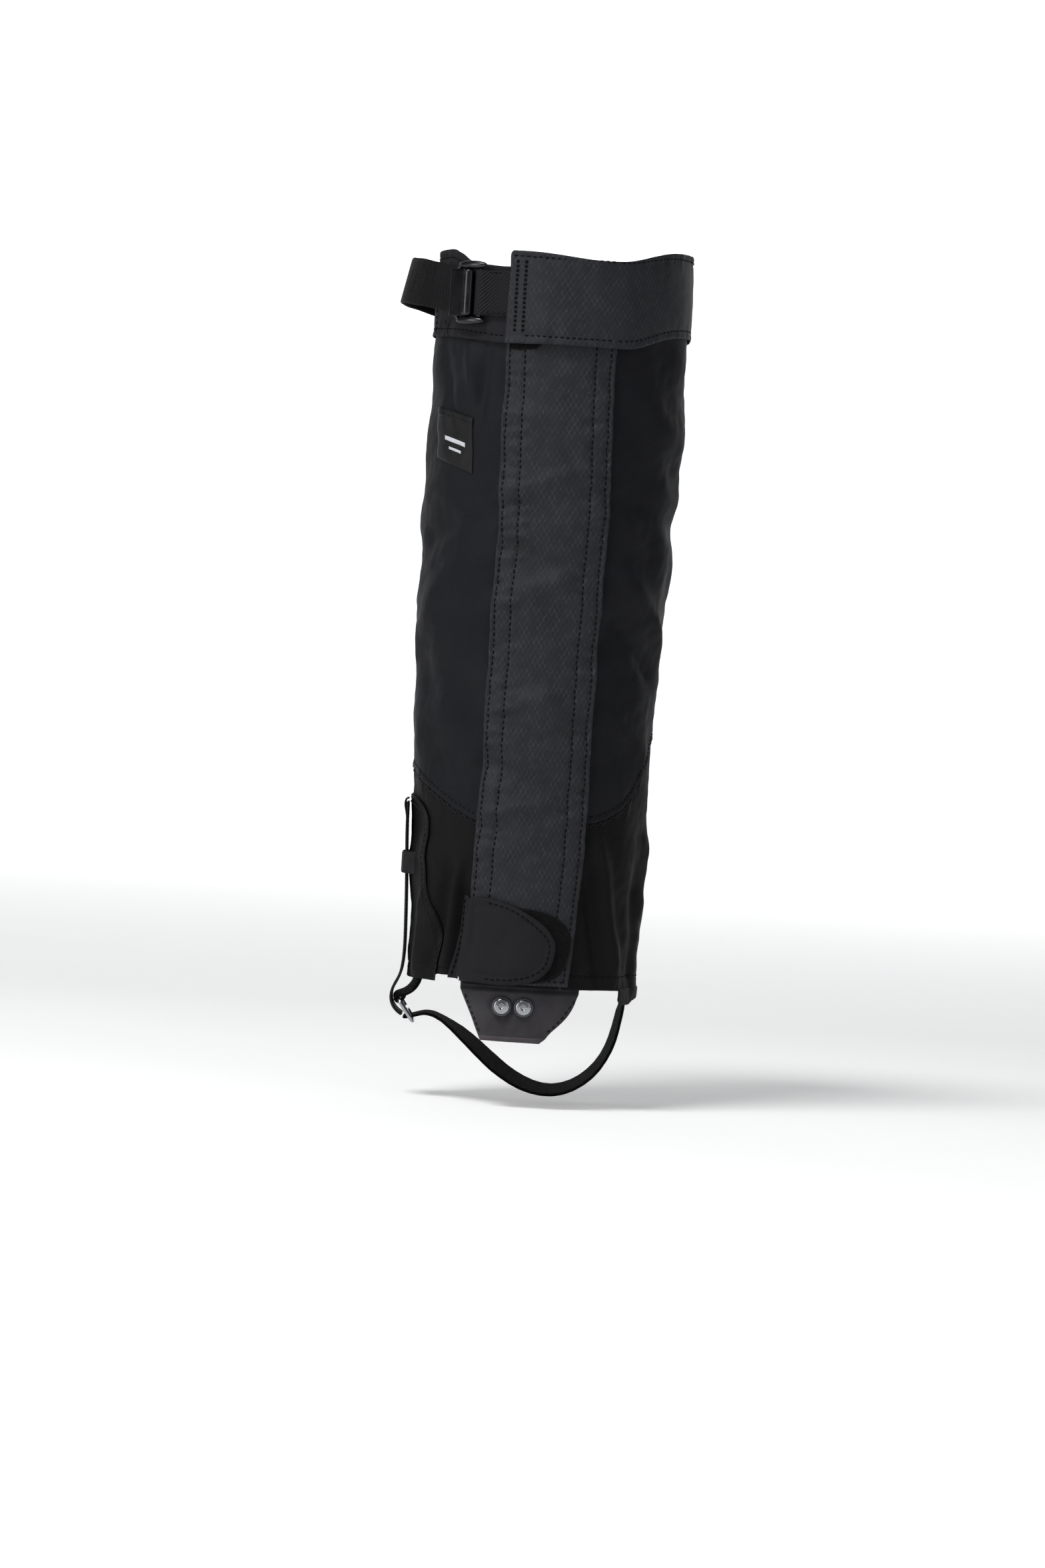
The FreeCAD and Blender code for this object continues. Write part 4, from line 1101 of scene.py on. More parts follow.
FLAP_ROWS = (-27.3, -19.0, 18.8, 26.7)
FLAP_HALF = 29.5
FLAP_OUT = 3.4
TAPE_HALF = 19
TAPE_ENDS = 4.6, 379


def flap_shape(x, z, s, t):
    """Pressed stitch lines, puckers beside them, turned edges and drag folds across the flap."""
    across = x - lean(z)
    calm = smooth(46, 60, z) * (1 - smooth(330, 342, z))
    press = sum(near(across - row, 1.0) for row in FLAP_ROWS)
    gather = sum(
        near(across - row, 5.0) * ripple(z + 0.8 * row, 50 + i, 5.0, 13.0) for i, row in enumerate(FLAP_ROWS)
    )
    drag = near(across + 30, 26) * ripple(z + across * 0.35, 61, 17.0, 46.0)
    drag = drag + near(across - 30, 26) * ripple(z - across * 0.3, 62, 15.0, 42.0)
    middle = near(across, 14) * ripple(z + across * 0.8, 63, 30.0, 80.0)
    edge = 0.5 * near(across + 29.5, 1.7) + 0.35 * near(across - 29.5, 1.6)
    hem = 0.3 * near(z - FLAP_BOTTOM, 2.5)
    folds = (0.14 + 0.86 * calm) * (0.5 * gather + 1.15 * drag + 0.95 * middle)
    return folds - 0.5 * press * (0.4 + 0.6 * calm) + edge * calm + hem


flap = patch("storm_flap_cloth", flap_line(-FLAP_HALF), flap_line(FLAP_HALF), FLAP_OUT, 1.2, RIPSTOP,
             step=0.85, shape=flap_shape)
finish_piece(flap, nodes=["storm_flap", "flap_sewn_edge"], blend=SEWN_TO_FLAP)
for number, row in enumerate(FLAP_ROWS):
    stitch_rows(f"storm_flap_stitches_{number + 1}", "ripstop_cloth", [flap_line(row, 3.5, 382.0)],
                FLAP_OUT + 0.02, flap_shape, blend=SEWN_TO_FLAP, thick=0.4)
stitch_rows("storm_flap_stitches_foot", "ripstop_cloth", [[(-33.0, 4.2), (22.0, 4.2)]], FLAP_OUT + 0.02,
            flap_shape, "storm_flap")

TAPES = [
    ("flap_hook_tape_cloth", 2.15, 0.75, HOOKS, "hook_tape", "storm_flap", "flap_hook_tape"),
    ("front_loop_tape_cloth", 1.0, 0.9, LOOPS, "loop_tape", "root", "front_loop_tape"),
]
for name, offset, thickness, cloth, slot, body, node in TAPES:
    tape = patch(name, flap_line(-TAPE_HALF, *TAPE_ENDS), flap_line(TAPE_HALF, *TAPE_ENDS), offset, thickness,
                 cloth, step=2.4)
    finish_piece(tape, body, [node])
tape_lines = [flap_line(x, 6, 377) for x in (-17.6, 17.6)]
stitch_rows("loop_tape_stitches", "loop_tape", tape_lines, 1.0, body="root")

# ---------------------------------------------------------------- collar

BAND_OUT = 1.4
COVER_OUT = 6.1


def band_shape(angle, z):
    """The band's rolled edges, pressed rows, a soft swell between them, and puckers."""
    up = z - band_low(angle)
    down = band_top(angle) - z
    rolled = 0.5 * near(up, 2.4) + 0.6 * near(down, 3.0)
    press = -0.3 * near(up - 4.2, 1.0) - 0.3 * near(down - 4.5, 1.0)
    tall = np.maximum(band_top(angle) - band_low(angle), 1.0)
    swell = 0.9 * np.clip(4 * (up / tall) * (down / tall), 0, 1)
    gather = 0.3 * near(up, 8.0) * ripple(angle * ARC, 71) + 0.3 * near(down, 8.0) * ripple(angle * ARC, 72)
    return rolled + press + swell + gather


def wrap_offset(angle, z):
    """The wrap lies high where it leaves the storm flap, and settles on the shell further round."""
    x = COLLAR_HALF * np.sin(angle)
    front = np.where(np.cos(angle) > 0, 1 - smooth(29, 50, x), 0.0)
    return BAND_OUT + (COVER_OUT - 0.5 - BAND_OUT) * front


def wrap_shape(angle, z):
    return band_shape(angle, z) * smooth(24, 40, np.degrees(angle))


left_band = region("collar_left_cloth", -187.0, -24.0, band_low, band_top, BAND_OUT, 1.2, COLLAR,
                   shape=band_shape, step=1.4)
finish_piece(left_band, "root", ["collar_left_band"])


SPLIT_X = 27.25
split = math.degrees(float(angle_at(SPLIT_X, 368, COVER_OUT - 0.5)))
right_band = region("collar_right_cloth", split, 173.0, band_low, band_top, wrap_offset, 1.2, RIPSTOP,
                    shape=wrap_shape, step=1.2, butt="first")
finish_piece(right_band, nodes=["collar_right_band"], blend=WRAP_TO_FLAP)


def wrap_stand(angle, z):
    return wrap_offset(angle, z) + wrap_shape(angle, z)


left_lines = [ring_line(-185, -26, band_low, 4.2, 70), ring_line(-185, -26, band_top, -4.5, 70),
              upright_line(-78.0, 350, 389)]
stitch_rows("collar_left_stitches", "collar_cloth", left_lines, BAND_OUT, band_shape, "root", by_angle=True)
right_lines = [
    ring_line(split + 1.5, 171, edge, rise, 70) for edge, rise in ((band_low, 4.2), (band_top, -3.4))
]
stitch_rows("collar_right_stitches", "ripstop_cloth", right_lines, 0.0, wrap_stand, blend=WRAP_TO_FLAP,
            by_angle=True)


def cover_shape(x, z, s, t):
    """The collar flap: rolled edges, pressed rows, a soft fold or two."""
    up, down, free = z - COLLAR_LOW, 393.4 - z, x + 30.3
    rolled = 0.4 * near(up, 2.2) + 0.4 * near(down, 2.2) + 0.45 * near(free, 2.0)
    press = -0.32 * (near(up - 4.1, 1.0) + near(down - 3.0, 1.0)) * smooth(-30, -24, x)
    press = press - 0.22 * (near(x + 25.6, 1.1) + near(x + 21.1, 1.1))
    soft = 0.55 * ripple(z * 0.6 + x * 0.9, 81, 26.0, 60.0) * near(x, 24) * near(z - 368, 22)
    soft = soft + 0.3 * near(up - 3, 8) * ripple(x, 82, 6.0, 14.0)
    soft = soft + 0.25 * near(down - 3, 8) * ripple(x, 83, 6.0, 14.0)
    flat = smooth(17, 26.4, x)
    return (rolled + press + soft) * (1 - flat) - 0.5 * flat


def dip(obj):
    """The collar's top edge sinks a little between its two ends."""
    for vertex in obj.data.vertices:
        x, y, z = (value / MM for value in vertex.co)
        if y < 0:
            vertex.co.z -= 3.3 * MM * math.exp(-((x - 20.0) / 26.0) ** 2) * float(smooth(352, 392, z))


cover_left = [(-30.9, 343.4), (-30.6, 352.0), (-30.2, 372.0), (-30.0, 389.0), (-29.6, 392.2), (-28.6, 393.3)]
cover_right = [
    (float(station(3, z) + (station(1, z) + COVER_OUT - 0.5) * math.sin(math.radians(split))), z)
    for z in (343.9, 356.0, 368.0, 380.0, 393.5)
]
cover = patch("collar_flap_cloth", cover_left, cover_right, COVER_OUT, 1.2, RIPSTOP, step=0.85,
              shape=cover_shape, butt="last")
dip(cover)
dip(right_band)
finish_piece(cover, nodes=["collar_flap"], blend=FLAP_TO_COVER)
cover_lines = [[(-28.6, 390.4), (0, 389.8), (27.0, 390.2)], [(-20.5, 348.0), (0, 347.8), (27.0, 348.0)]]
stitch_rows("collar_flap_stitches", "ripstop_cloth", cover_lines, COVER_OUT, cover_shape, blend=FLAP_TO_COVER)
tack_lines = [[(x + shift, 349.5), (x + shift - 0.3, 388.5)] for x in (-26.0, -21.5) for shift in (0.0, 0.8)]
stitch_rows("collar_flap_bar_tacks", "ripstop_cloth", tack_lines, COVER_OUT + 0.1, cover_shape, "collar_flap",
            pitch=2.4, long=1.6)

COLLAR_PILE = [
    (-27.9, 340.6), (-22.0, 339.9), (-15.0, 341.0), (-10.2, 343.0), (-10.0, 347.0), (-10.2, 351.6),
    (-19, 352), (-27.4, 351.8), (-27.8, 346),
]
collar_pile = blob("collar_loop_patch_pile", COLLAR_PILE, 4.05, 0.6, PILE)
finish_piece(collar_pile, "storm_flap", ["collar_loop_patch"])
collar_hook = patch("collar_hook_patch_cloth", [(-27, 345), (-27, 351.5)], [(-9, 345), (-9, 351.5)], 4.86,
                    0.55, HOOKS, step=1.4)
finish_piece(collar_hook, "collar_flap", ["collar_hook_patch"])


def fuzz(name, spots, offset, length):
    """Pile at spots of (x, height) on the storm flap."""
    spots = np.asarray(spots, float)
    angle = angle_at(spots[:, 0], spots[:, 1], offset)
    hairs = fibres(name, skin(angle, spots[:, 1], offset), outward_at(angle), length, 0.045, PILE)
    finish_piece(hairs, "storm_flap")


collar_spots = np.stack([RNG.uniform(-27.6, -12.5, 900), RNG.uniform(340.8, 343.6, 900)], axis=1)
fuzz("collar_pile_fibres", collar_spots, 4.0, 0.9)

# ---------------------------------------------------------------- closure tab at the foot

# x and height, clockwise from the upper outer corner
PILE_OUTLINE = [
    (-28.0, 43.6), (-16.0, 43.8), (-5.0, 43.2), (6.0, 41.8), (16.0, 38.8), (22.4, 34.2), (24.8, 28.0),
    (24.4, 22.0), (22.6, 13.0), (19.8, 7.4), (13.5, 4.0), (5.0, 2.5), (-8.0, 2.3), (-28.0, 2.3),
    (-28.2, 16.0), (-28.1, 30.0),
]
TAB_OUTLINE = [
    (-31.9, 47.3), (-24.0, 47.0), (-16.0, 46.2), (-6.0, 43.2), (3.0, 38.7), (9.6, 34.4), (13.6, 30.2),
    (16.2, 25.8), (16.7, 21.2), (15.6, 15.0), (13.4, 9.8), (9.0, 5.6), (3.0, 2.7), (-4.0, 1.3), (-12.0, 0.8),
    (-24.0, 1.5), (-35.0, 2.4), (-34.6, 14.0), (-33.4, 28.0), (-32.3, 40.0),
]
TAB_HOOK_OUTLINE = [
    (-22, 42), (-4, 38.8), (4, 34.5), (8.5, 30), (11.4, 24), (11.4, 17), (8, 11), (2, 7.4), (-4, 5.4),
    (-22, 5), (-22.2, 18), (-22.2, 30),
]
TAB_OUT = 6.1


def tab_shape(x, z, inset):
    """The closure tab's turned edge, the groove of its stitches, and soft waves inside it."""
    turned = 0.35 * near(inset, 1.8) - 0.3 * near(inset - 3.6, 0.8)
    soft = 0.4 * ripple(x * 0.9 - z * 0.5, 91, 15.0, 34.0) * smooth(0, 5, inset)
    return turned + soft * 0.6 + 0.25 * smooth(2, 10, inset)


def shows_pile(x, z):
    """Whether hairs are worth placing here: on the round patch, thinned out where the tab covers it."""
    inside = (((x + 1) / 26.6) ** 2 + ((z - 23) / 20.8) ** 2 < 1.0) or x < -8
    under_tab = x < 13.5 - abs(z - 21) * 0.62 and 2 < z < 44
    return inside and (not under_tab or RNG.uniform() < 0.12)


pile = blob("closure_loop_patch_pile", PILE_OUTLINE, 4.1, 0.7, PILE)
finish_piece(pile, "storm_flap", ["closure_loop_patch"])
pile_spots = []
while len(pile_spots) < 5200:
    x, z = RNG.uniform(-28, 25.4), RNG.uniform(2.4, 43.6)
    if shows_pile(x, z):
        pile_spots.append((x, z))
fuzz("closure_pile_fibres", pile_spots, 4.05, 0.75)
tab_hook = blob("closure_tab_hook_cloth", TAB_HOOK_OUTLINE, 4.88, 0.5, HOOKS)
finish_piece(tab_hook, "closure_tab", ["closure_tab_hook"])
closure_tab = blob("closure_tab_cloth", TAB_OUTLINE, TAB_OUT, 1.15, COLLAR, shape=tab_shape)
finish_piece(closure_tab, "closure_tab", ["closure_tab"])


def inset_outline(outline, inset):
    """The outline drawn in towards its middle by an inset in mm."""
    points = np.asarray(outline, float)
    middle = points.mean(axis=0)
    reach = np.linalg.norm(points - middle, axis=1, keepdims=True)
    return middle + (points - middle) * (1 - inset / reach)


tab_line = inset_outline(TAB_OUTLINE[1:16], 3.6)
stitch_rows("closure_tab_stitches", "collar_cloth", [tab_line], 6.15, lambda x, z, s, t: 0.02 + 0 * x,
            "closure_tab")


def base_rise(x, z, s, t):
    """The tab's base climbs from the shell to the tab."""
    return 4.3 * smooth(0.45, 1.0, s + 0 * x)


base = patch("closure_tab_base_cloth", [(-39.9, 2.5), (-37.6, 20.0), (-35.4, 47.4)],
             [(-35.5, 2.5), (-34.0, 20.0), (-32.3, 47.4)], 1.3, 1.1, COLLAR, step=0.6, shape=base_rise)
finish_piece(base, "root", ["closure_tab_base"])
base_line = [(-38.9, 4.0), (-36.8, 20.0), (-34.9, 46.0)]
stitch_rows("closure_base_stitches", "collar_cloth", [base_line], 1.4, body="root")

# ---------------------------------------------------------------- collar strap and its buckle

WEB_WIDTH = 25.0
WEB_GAUGE = 1.5
STRAP_Z = 370.0
ROD = np.array([-45.3, -51.36, STRAP_Z])
ALONG = np.array([0.8173, -0.5761, 0.0])
OUTWARD = np.array([-0.5761, -0.8173, 0.0])
BAR_PLACE = -6.9, 1.4


def flat_point(x, offset, z=STRAP_Z):
    """A point of the undraped tube in mm."""
    return skin(angle_at(x, z, offset), z, offset, 0.0) / MM


twill_path = [flat_point(x, 4.35) for x in (-13.0, -20.0, -27.0, -34.0, -40.0)]
twill_path += [ROD + OUTWARD * 2.2 + ALONG * 1.0, ROD + OUTWARD * 2.2 - ALONG * 0.9, ROD - ALONG * 2.3,
               ROD - OUTWARD * 2.1 - ALONG * 0.6, ROD - OUTWARD * 2.3 + ALONG * 1.6, flat_point(-40.0, 2.65),
               flat_point(-35.0, 2.6)]
twill = ribbon("twill_strap_cloth", twill_path, (0, 0, 1), WEB_WIDTH - 0.6, 1.05, TWILL, (0, -1, 0),
               step=0.7, ripple=0.0)
finish_piece(twill, "collar_flap", ["collar_twill_strap"])
twill_rows = []
for dz in (-10.9, 10.9):
    row = np.array([flat_point(x, 5.0, STRAP_Z + dz) for x in np.arange(-41.0, -30.0, 2.6)]) * MM
    pairs = np.stack([row[:-1], row[:-1] + (row[1:] - row[:-1]) * 0.72], axis=1)
    twill_rows.append(dashes("row", pairs, np.tile(OUTWARD, (len(pairs), 1)), 0.24, THREAD))
finish_piece(join("twill_strap_stitches", twill_rows), "collar_flap")


def buckle_point(u, v, w):
    """A point of the upper buckle: u along the strap, v along its rod, w outwards."""
    return ROD + ALONG * u + OUTWARD * w + np.array([0.0, 0.0, v])


def cross_bar(half, points, count, u=0.0, w=0.0):
    """The middle line of a bar across the upper buckle."""
    return along([buckle_point(u, v, w) for v in np.linspace(-half, half, points)], count)


CHEEK_V, CHEEK_MIDDLE, CHEEK_HALF = 14.9, -4.9, 9.0
FRAME_HALF = [
    (1.6, 13.6), (1.2, 14.6), (-2.0, 15.0), (-10.0, 15.0), (-13.2, 14.0), (-15.2, 11.5), (-15.8, 4.0),
]
frame_route = [(u, -v) for u, v in FRAME_HALF] + FRAME_HALF[::-1]
frame_line = along([buckle_point(u, v, 0.2) for u, v in frame_route], 90)
frame_parts = [tube("bar", frame_line, 1.15, BLACK_METAL, OUTWARD, sides=16)]
for side in (-1, 1):
    shares = np.sin(np.linspace(-math.pi / 2, math.pi / 2, 40))
    dome = [buckle_point(CHEEK_MIDDLE + CHEEK_HALF * share, side * CHEEK_V, 0.7 + 0.9 * (1 - share**2))
            for share in shares]
    frame_parts.append(tube("dome", dome, 2.45, BLACK_METAL, OUTWARD, sides=26, flat=0.9,
                            profile=np.sqrt(np.maximum(1 - shares**2, 0.0004)) ** 0.8))
frame_parts.append(tube("rod", cross_bar(14.2, 7, 24), 1.5, BLACK_METAL, OUTWARD))
upper_frame = join("upper_buckle_frame_metal", frame_parts)
finish_piece(upper_frame, "upper_buckle", ["upper_buckle_frame"])
slide = tube("bar", cross_bar(12.6, 9, 40, *BAR_PLACE), 3.05, BLACK_METAL, OUTWARD, sides=36, ends=0.85)
PLATE_WIDE, PLATE_LONG = 25.4, 10.6
plate_grid = np.array([
    [buckle_point(PLATE_LONG * share - 18.6, v, 2.3 + 0.9 * share) for share in edged(14, PLATE_LONG, 0.5)]
    for v in edged(30, PLATE_WIDE, 0.5) * PLATE_WIDE - PLATE_WIDE / 2
])
plate_uv = np.stack([plate_grid[..., 0], plate_grid[..., 2]], axis=-1) * MM
plate = closed_sheet("plate", plate_grid * MM, plate_uv, 1.1, SMOOTH_BLACK, outward=OUTWARD)
finish_piece(join("upper_slide_bar_metal", [slide, plate]), "upper_slide_bar",
             ["upper_buckle_slide_bar"])

UPPER_ROUTE = [(-50.0, -44.3), (-57.0, -38.9), (-63.5, -33.0), (-77.0, -19.0), (-85.4, 0.0), (-83.0, 20.0),
               (-70.0, 36.5), (-53.0, 47.2), (-36.0, 54.9), (-24.0, 58.6)]
UPPER_TILT = math.radians(12.5)
UPPER_ACROSS = [(share * math.sin(UPPER_TILT), 0.0, 1.0) for share in (0, 0.2, 0.7, 1, 1, 1, 0.7, 0.3, 0, 0)]


def tilted(x, y, up=0.0):
    """A point of the collar strap, which stands up towards the outer side; up is along its width."""
    return x, y, STRAP_Z + max(-50.0 - x, 0.0) * math.tan(UPPER_TILT) + up


upper_path = [tilted(x, y) for x, y in UPPER_ROUTE]
upper_web = ribbon("upper_webbing_cloth", upper_path, UPPER_ACROSS, WEB_WIDTH, WEB_GAUGE, STRAP_WEB,
                   (-0.6, -0.8, 0), step=0.9, ripple=0.1)
finish_piece(upper_web, "root", ["upper_webbing"])

# the box of stitches at the webbing's back end: four sides and two diagonals
BOX_X, BOX_LONG, BOX_HALF = -39.5, 14, 10
BOX_SIDES = [
    ((0, -1), (0, 1)), ((1, -1), (1, 1)), ((0, 1), (1, 1)), ((0, -1), (1, -1)), ((0, -1), (1, 1)),
    ((0, 1), (1, -1)),
]


def on_back_webbing(spots):
    """Points in metres on the outer face of the collar webbing behind, for (x, height over its middle)."""
    tail_x, tail_y = zip(*UPPER_ROUTE[-3:])
    y = np.interp(spots[:, 0], tail_x, tail_y) + 0.9
    return np.array([tilted(x, y_at, up) for x, y_at, up in zip(spots[:, 0], y, spots[:, 1])]) * MM


box_rows = []
for ends in BOX_SIDES:
    start, end = (np.array([BOX_X + BOX_LONG * along_x, BOX_HALF * up]) for along_x, up in ends)
    length = np.linalg.norm(end - start)
    count = int(length / 2.2)
    spots = start + (end - start) * (np.arange(count) / count)[:, None]
    further = spots + (end - start) / length * 1.7
    line = np.stack([on_back_webbing(spots), on_back_webbing(further)], axis=1)
    box_rows.append(dashes("row", line, np.tile([-0.4, 0.9, 0.0], (count, 1)), 0.26, THREAD_LIGHT))
finish_piece(join("upper_webbing_box_stitch", box_rows), "root")
cross_lines = [[(-64.3, 346.5), (-61.3, 355.5)], [(-61.3, 346.5), (-64.3, 355.5)]]
stitch_rows("band_cross_tack", "collar_cloth", cross_lines, 2.3, body="root", material=THREAD_LIGHT,
            pitch=1.5, long=1.3, thick=0.32)

# ---------------------------------------------------------------- instep strap, lower buckle, tail

# x and height
STRAP_ROUTE = [
    (56.4, 9.0), (56.4, 0.0), (54.3, -11.0), (50.4, -29.0), (39.5, -47.8), (20.0, -57.8), (-3.0, -52.0),
    (-24.0, -36.0), (-40.0, -24.0), (-52.0, -19.8), (-60.6, -22.0), (-64.0, -22.5),
]
TAIL_ROUTE = [
    (-64.6, -21.1), (-66.6, -19.8), (-70.6, -14.5), (-70.7, -8.0), (-67.6, -1.0), (-65.6, 9.0), (-65.5, 25.0),
    (-66.9, 60.0), (-67.9, 80.0), (-68.2, 95.0),
]
LOOP_ROUTE = [
    (-56.6, 9.5), (-56.8, 0.5), (-59.6, -5.8), (-63.9, -9.1), (-66.6, -10.0), (-68.9, -11.2), (-69.0, -13.0),
    (-67.4, -14.4), (-65.3, -13.4), (-63.2, -10.9),
]


def upright_path(route):
    return [(x, 0.0, z) for x, z in route]


STRAP_ROLL = [0, 0, -6, -7, -7, -8, -9, -10, -12, -14, -15, -14, -10, -3, 0, 0]
strap = ribbon("instep_strap_webbing", upright_path(STRAP_ROUTE), (0, 1, 0), WEB_WIDTH, WEB_GAUGE, DARK_WEB,
               (1, 0, 0), roll=STRAP_ROLL)
finish_piece(strap, nodes=["instep_strap"],
             blend=("root", "instep_strap", Vector((0, 0, -0.006)), Vector((0, 0, -0.022))))
tail = ribbon("strap_tail_webbing", upright_path(TAIL_ROUTE), (0, 1, 0), WEB_WIDTH, WEB_GAUGE, TAIL_WEB,
              (-1, 0, 0), step=0.9)
finish_piece(tail, nodes=["strap_tail"],
             blend=("root", "instep_strap", Vector((0, 0, 0.002)), Vector((0, 0, -0.016))))
tip_path = [(-68.0, 0, 84.0), (-69.0, 0, 90.0), (-69.45, 0, 95.4), (-68.8, 0, 96.6), (-67.6, 0, 96.4)]
tip = ribbon("strap_tail_fold", tip_path, (0, 1, 0), WEB_WIDTH - 0.5, 0.9, TAIL_WEB, (-1, 0, 0), step=0.7)
finish_piece(tip, "root")
anchor = ribbon("buckle_anchor_webbing", upright_path(LOOP_ROUTE), (0, 1, 0), WEB_WIDTH - 0.8, 1.4, DARK_WEB,
                (-1, 0, 0), step=0.7, roll=[0, 6, 9, 9, 8, 6, 4, 2, 0, 0])
finish_piece(anchor, nodes=["buckle_anchor_loop"],
             blend=("root", "instep_strap", Vector((0, 0, 0.003)), Vector((0, 0, -0.008))))


def corner_low(angle):
    """The rounded foot of the scrap that covers the strap's inner end."""
    x = 62.0 * np.sin(np.asarray(angle, float))
    return -7.9 + 3.2 * (1 - smooth(50.5, 54.0, x)) + 2.6 * smooth(59.5, 62.0, x)


KEEPER_Z = 62.0
KEEPER_HALF = [(-62.0, 18.0), (-64.8, 15.2), (-67.9, 13.9), (-69.0, 11.0), (-69.2, 0.0)]
keeper_plan = [(x, -y) for x, y in KEEPER_HALF] + KEEPER_HALF[-2::-1]
keeper_path = [(x, y, KEEPER_Z) for x, y in keeper_plan]
keeper = ribbon("tail_keeper_elastic", keeper_path, (0, 0, 1), 12.0, 1.0, ELASTIC, (0, -1, 0), step=0.8)
finish_piece(keeper, "root", ["tail_keeper"])
corner_tab = region("strap_corner_cloth", 56.0, 102.8, corner_low, level(1.5), 0.55, 1.0, LOWER, step=0.7)
finish_piece(corner_tab, "root", ["strap_corner_tab"])

BUCKLE_MIDDLE = np.array([-62.75, 0.0, -18.25])
DOWN = np.array([0.5755, 0.0, -0.8178])
BUCKLE_OUT = np.array([-0.8178, 0.0, -0.5755])


def lower_point(s, v):
    """A point of the lower buckle: s down along the strap, v across it."""
    return BUCKLE_MIDDLE + DOWN * s + np.array([0.0, v, 0.0])


ring = []
for turn in np.linspace(0, 2 * math.pi, 72, endpoint=False):
    c, s = math.cos(turn), math.sin(turn)
    ring.append(lower_point(math.copysign(7.4 * abs(c) ** 0.42, c), math.copysign(14.4 * abs(s) ** 0.42, s)))
lower_ring = tube("lower_buckle_frame_metal", ring, 1.12, BRIGHT_METAL, BUCKLE_OUT, sides=16, closed=True)
finish_piece(lower_ring, "instep_strap", ["lower_buckle_frame"])
lower_line = along([lower_point(0, v) for v in np.linspace(-12.9, 12.9, 7)], 30)
lower_bar = tube("lower_slide_bar_metal", lower_line, 1.45, BRIGHT_METAL, BUCKLE_OUT, ends=0.85)
finish_piece(lower_bar, "lower_slide_bar", ["lower_buckle_slide_bar"])

# ---------------------------------------------------------------- lace hook tab

TAB_LEFT = [(-35.2, 4.4), (-34.4, 0.2), (-30.0, -11.0), (-25.4, -20.7), (-22.0, -27.6), (-21.2, -29.2)]
TAB_RIGHT = [
    (31.8, 4.4), (31.3, 0.2), (30.3, -4.0), (28.6, -8.5), (22.8, -17.5), (15.8, -24.3), (13.6, -27.0),
    (10.7, -29.6),
]
RIVETS_X = -10.6, 1.2
RIVETS_Z = -10.6


def lace_shape(x, z, s, t):
    """The lace tab's rolled foot, dimples round the rivets, and the step back behind the hem."""
    edge = np.minimum(s, 1 - s) * 60
    roll = 0.55 * near(z + 28.2, 1.9) + 0.25 * near(edge, 2.0)
    dimple = -0.5 * sum(near(np.hypot(x - rivet_x, z - RIVETS_Z) - 5.6, 1.5) for rivet_x in RIVETS_X)
    soft = 0.5 * ripple(x + z, 95, 16.0, 40.0) * near(z + 16, 10)
    return roll + 0.8 * dimple + 0.35 * soft - 2.45 * smooth(-3.5, -0.3, z)


lace = patch("lace_tab_cloth", TAB_LEFT, TAB_RIGHT, 0.15, 1.1, TAB_COAT, step=0.7, shape=lace_shape)
finish_piece(lace, nodes=["lace_hook_tab"],
             blend=("root", "lace_tab", Vector((0, -0.0555, 0.001)), Vector((0, -0.0555, -0.003))))
lip = patch("lace_tab_lip", [(-22.2, -26.6), (-21.2, -29.5)], [(13.6, -26.6), (10.8, -29.7)], 1.1, 0.9,
            TAB_ROLL, step=0.6, shape=lambda x, z, s, t: 0.35 * near(z + 28.4, 1.3))
finish_piece(lip, "lace_tab")
lace_lines = [
    [(28.8, -5.2), (26.6, -8.6), (20.9, -17.0), (13.9, -23.6)],
    [(-30.6, -5.0), (-28.0, -11.6), (-23.6, -21.0), (-21.6, -25.4)],
]
stitch_rows("lace_tab_stitches", "coated_cloth", lace_lines, 0.2, lace_shape, "lace_tab", thick=0.25)

# radius and height, from the middle of the head outwards, and back along its foot
RIVET_PROFILE = [
    (0.02, 0.75), (0.7, 0.62), (1.15, 0.66), (1.3, 1.2), (1.55, 1.55), (1.9, 1.5), (2.2, 1.36), (3.0, 1.42),
    (3.8, 1.3), (4.1, 0.95), (4.3, 0.5), (4.35, 0.2), (4.2, 0.0), (2.2, 0.0), (2.0, -1.0), (0.02, -1.0),
]
WASHER_PROFILE = [(3.9, 0.0), (4.2, 0.28), (4.8, 0.3), (5.1, 0.16), (5.15, -0.1), (5.0, -0.25), (3.9, -0.25)]
front = flat_point(-5.2, 0.0, RIVETS_Z)
rivets, washers = [], []
for x in RIVETS_X:
    middle = Vector((x * MM, (front[1] - 0.35) * MM, RIVETS_Z * MM))
    turn = Matrix.Translation(middle) @ Matrix.Rotation(math.radians(90), 4, "X")
    rivets.append(lathe("rivet", RIVET_PROFILE, turn @ Matrix.Translation((0, 0, 0.0003)), BRIGHT_METAL))
    washers.append(lathe("washer", WASHER_PROFILE, turn, DULL_STEEL))
finish_piece(join("hook_rivets_metal", rivets), "lace_tab", ["hook_rivets"])
finish_piece(join("rivet_washers_metal", washers), "lace_tab", ["rivet_washers"])
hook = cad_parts["lace_hook"]
hook.data.materials.clear()
hook.data.materials.append(DULL_STEEL)

# lint on the flap, as on worn cloth; none where the collar flap covers it
LINT_TOP = 338
lint_spots = np.stack([RNG.uniform(-26, 24, 34), RNG.uniform(60, 382, 34)], axis=1)
lint_ends = []
for spots in (lint_spots, lint_spots + RNG.normal(0, 1.0, lint_spots.shape)):
    x, z = spots.T
    lint_ends.append(skin(angle_at(x, z, 3.6), z, 3.65 + flap_shape(x, z, 0, 0)))
lint_keep = lint_spots[:, 1] < LINT_TOP
lint_out = outward_at(angle_at(*lint_spots.T, 3.6))
lint = dashes("storm_flap_lint", np.stack(lint_ends, axis=1)[lint_keep], lint_out[lint_keep], 0.05, LINT,
              sink=0.0)
finish_piece(lint, "storm_flap")

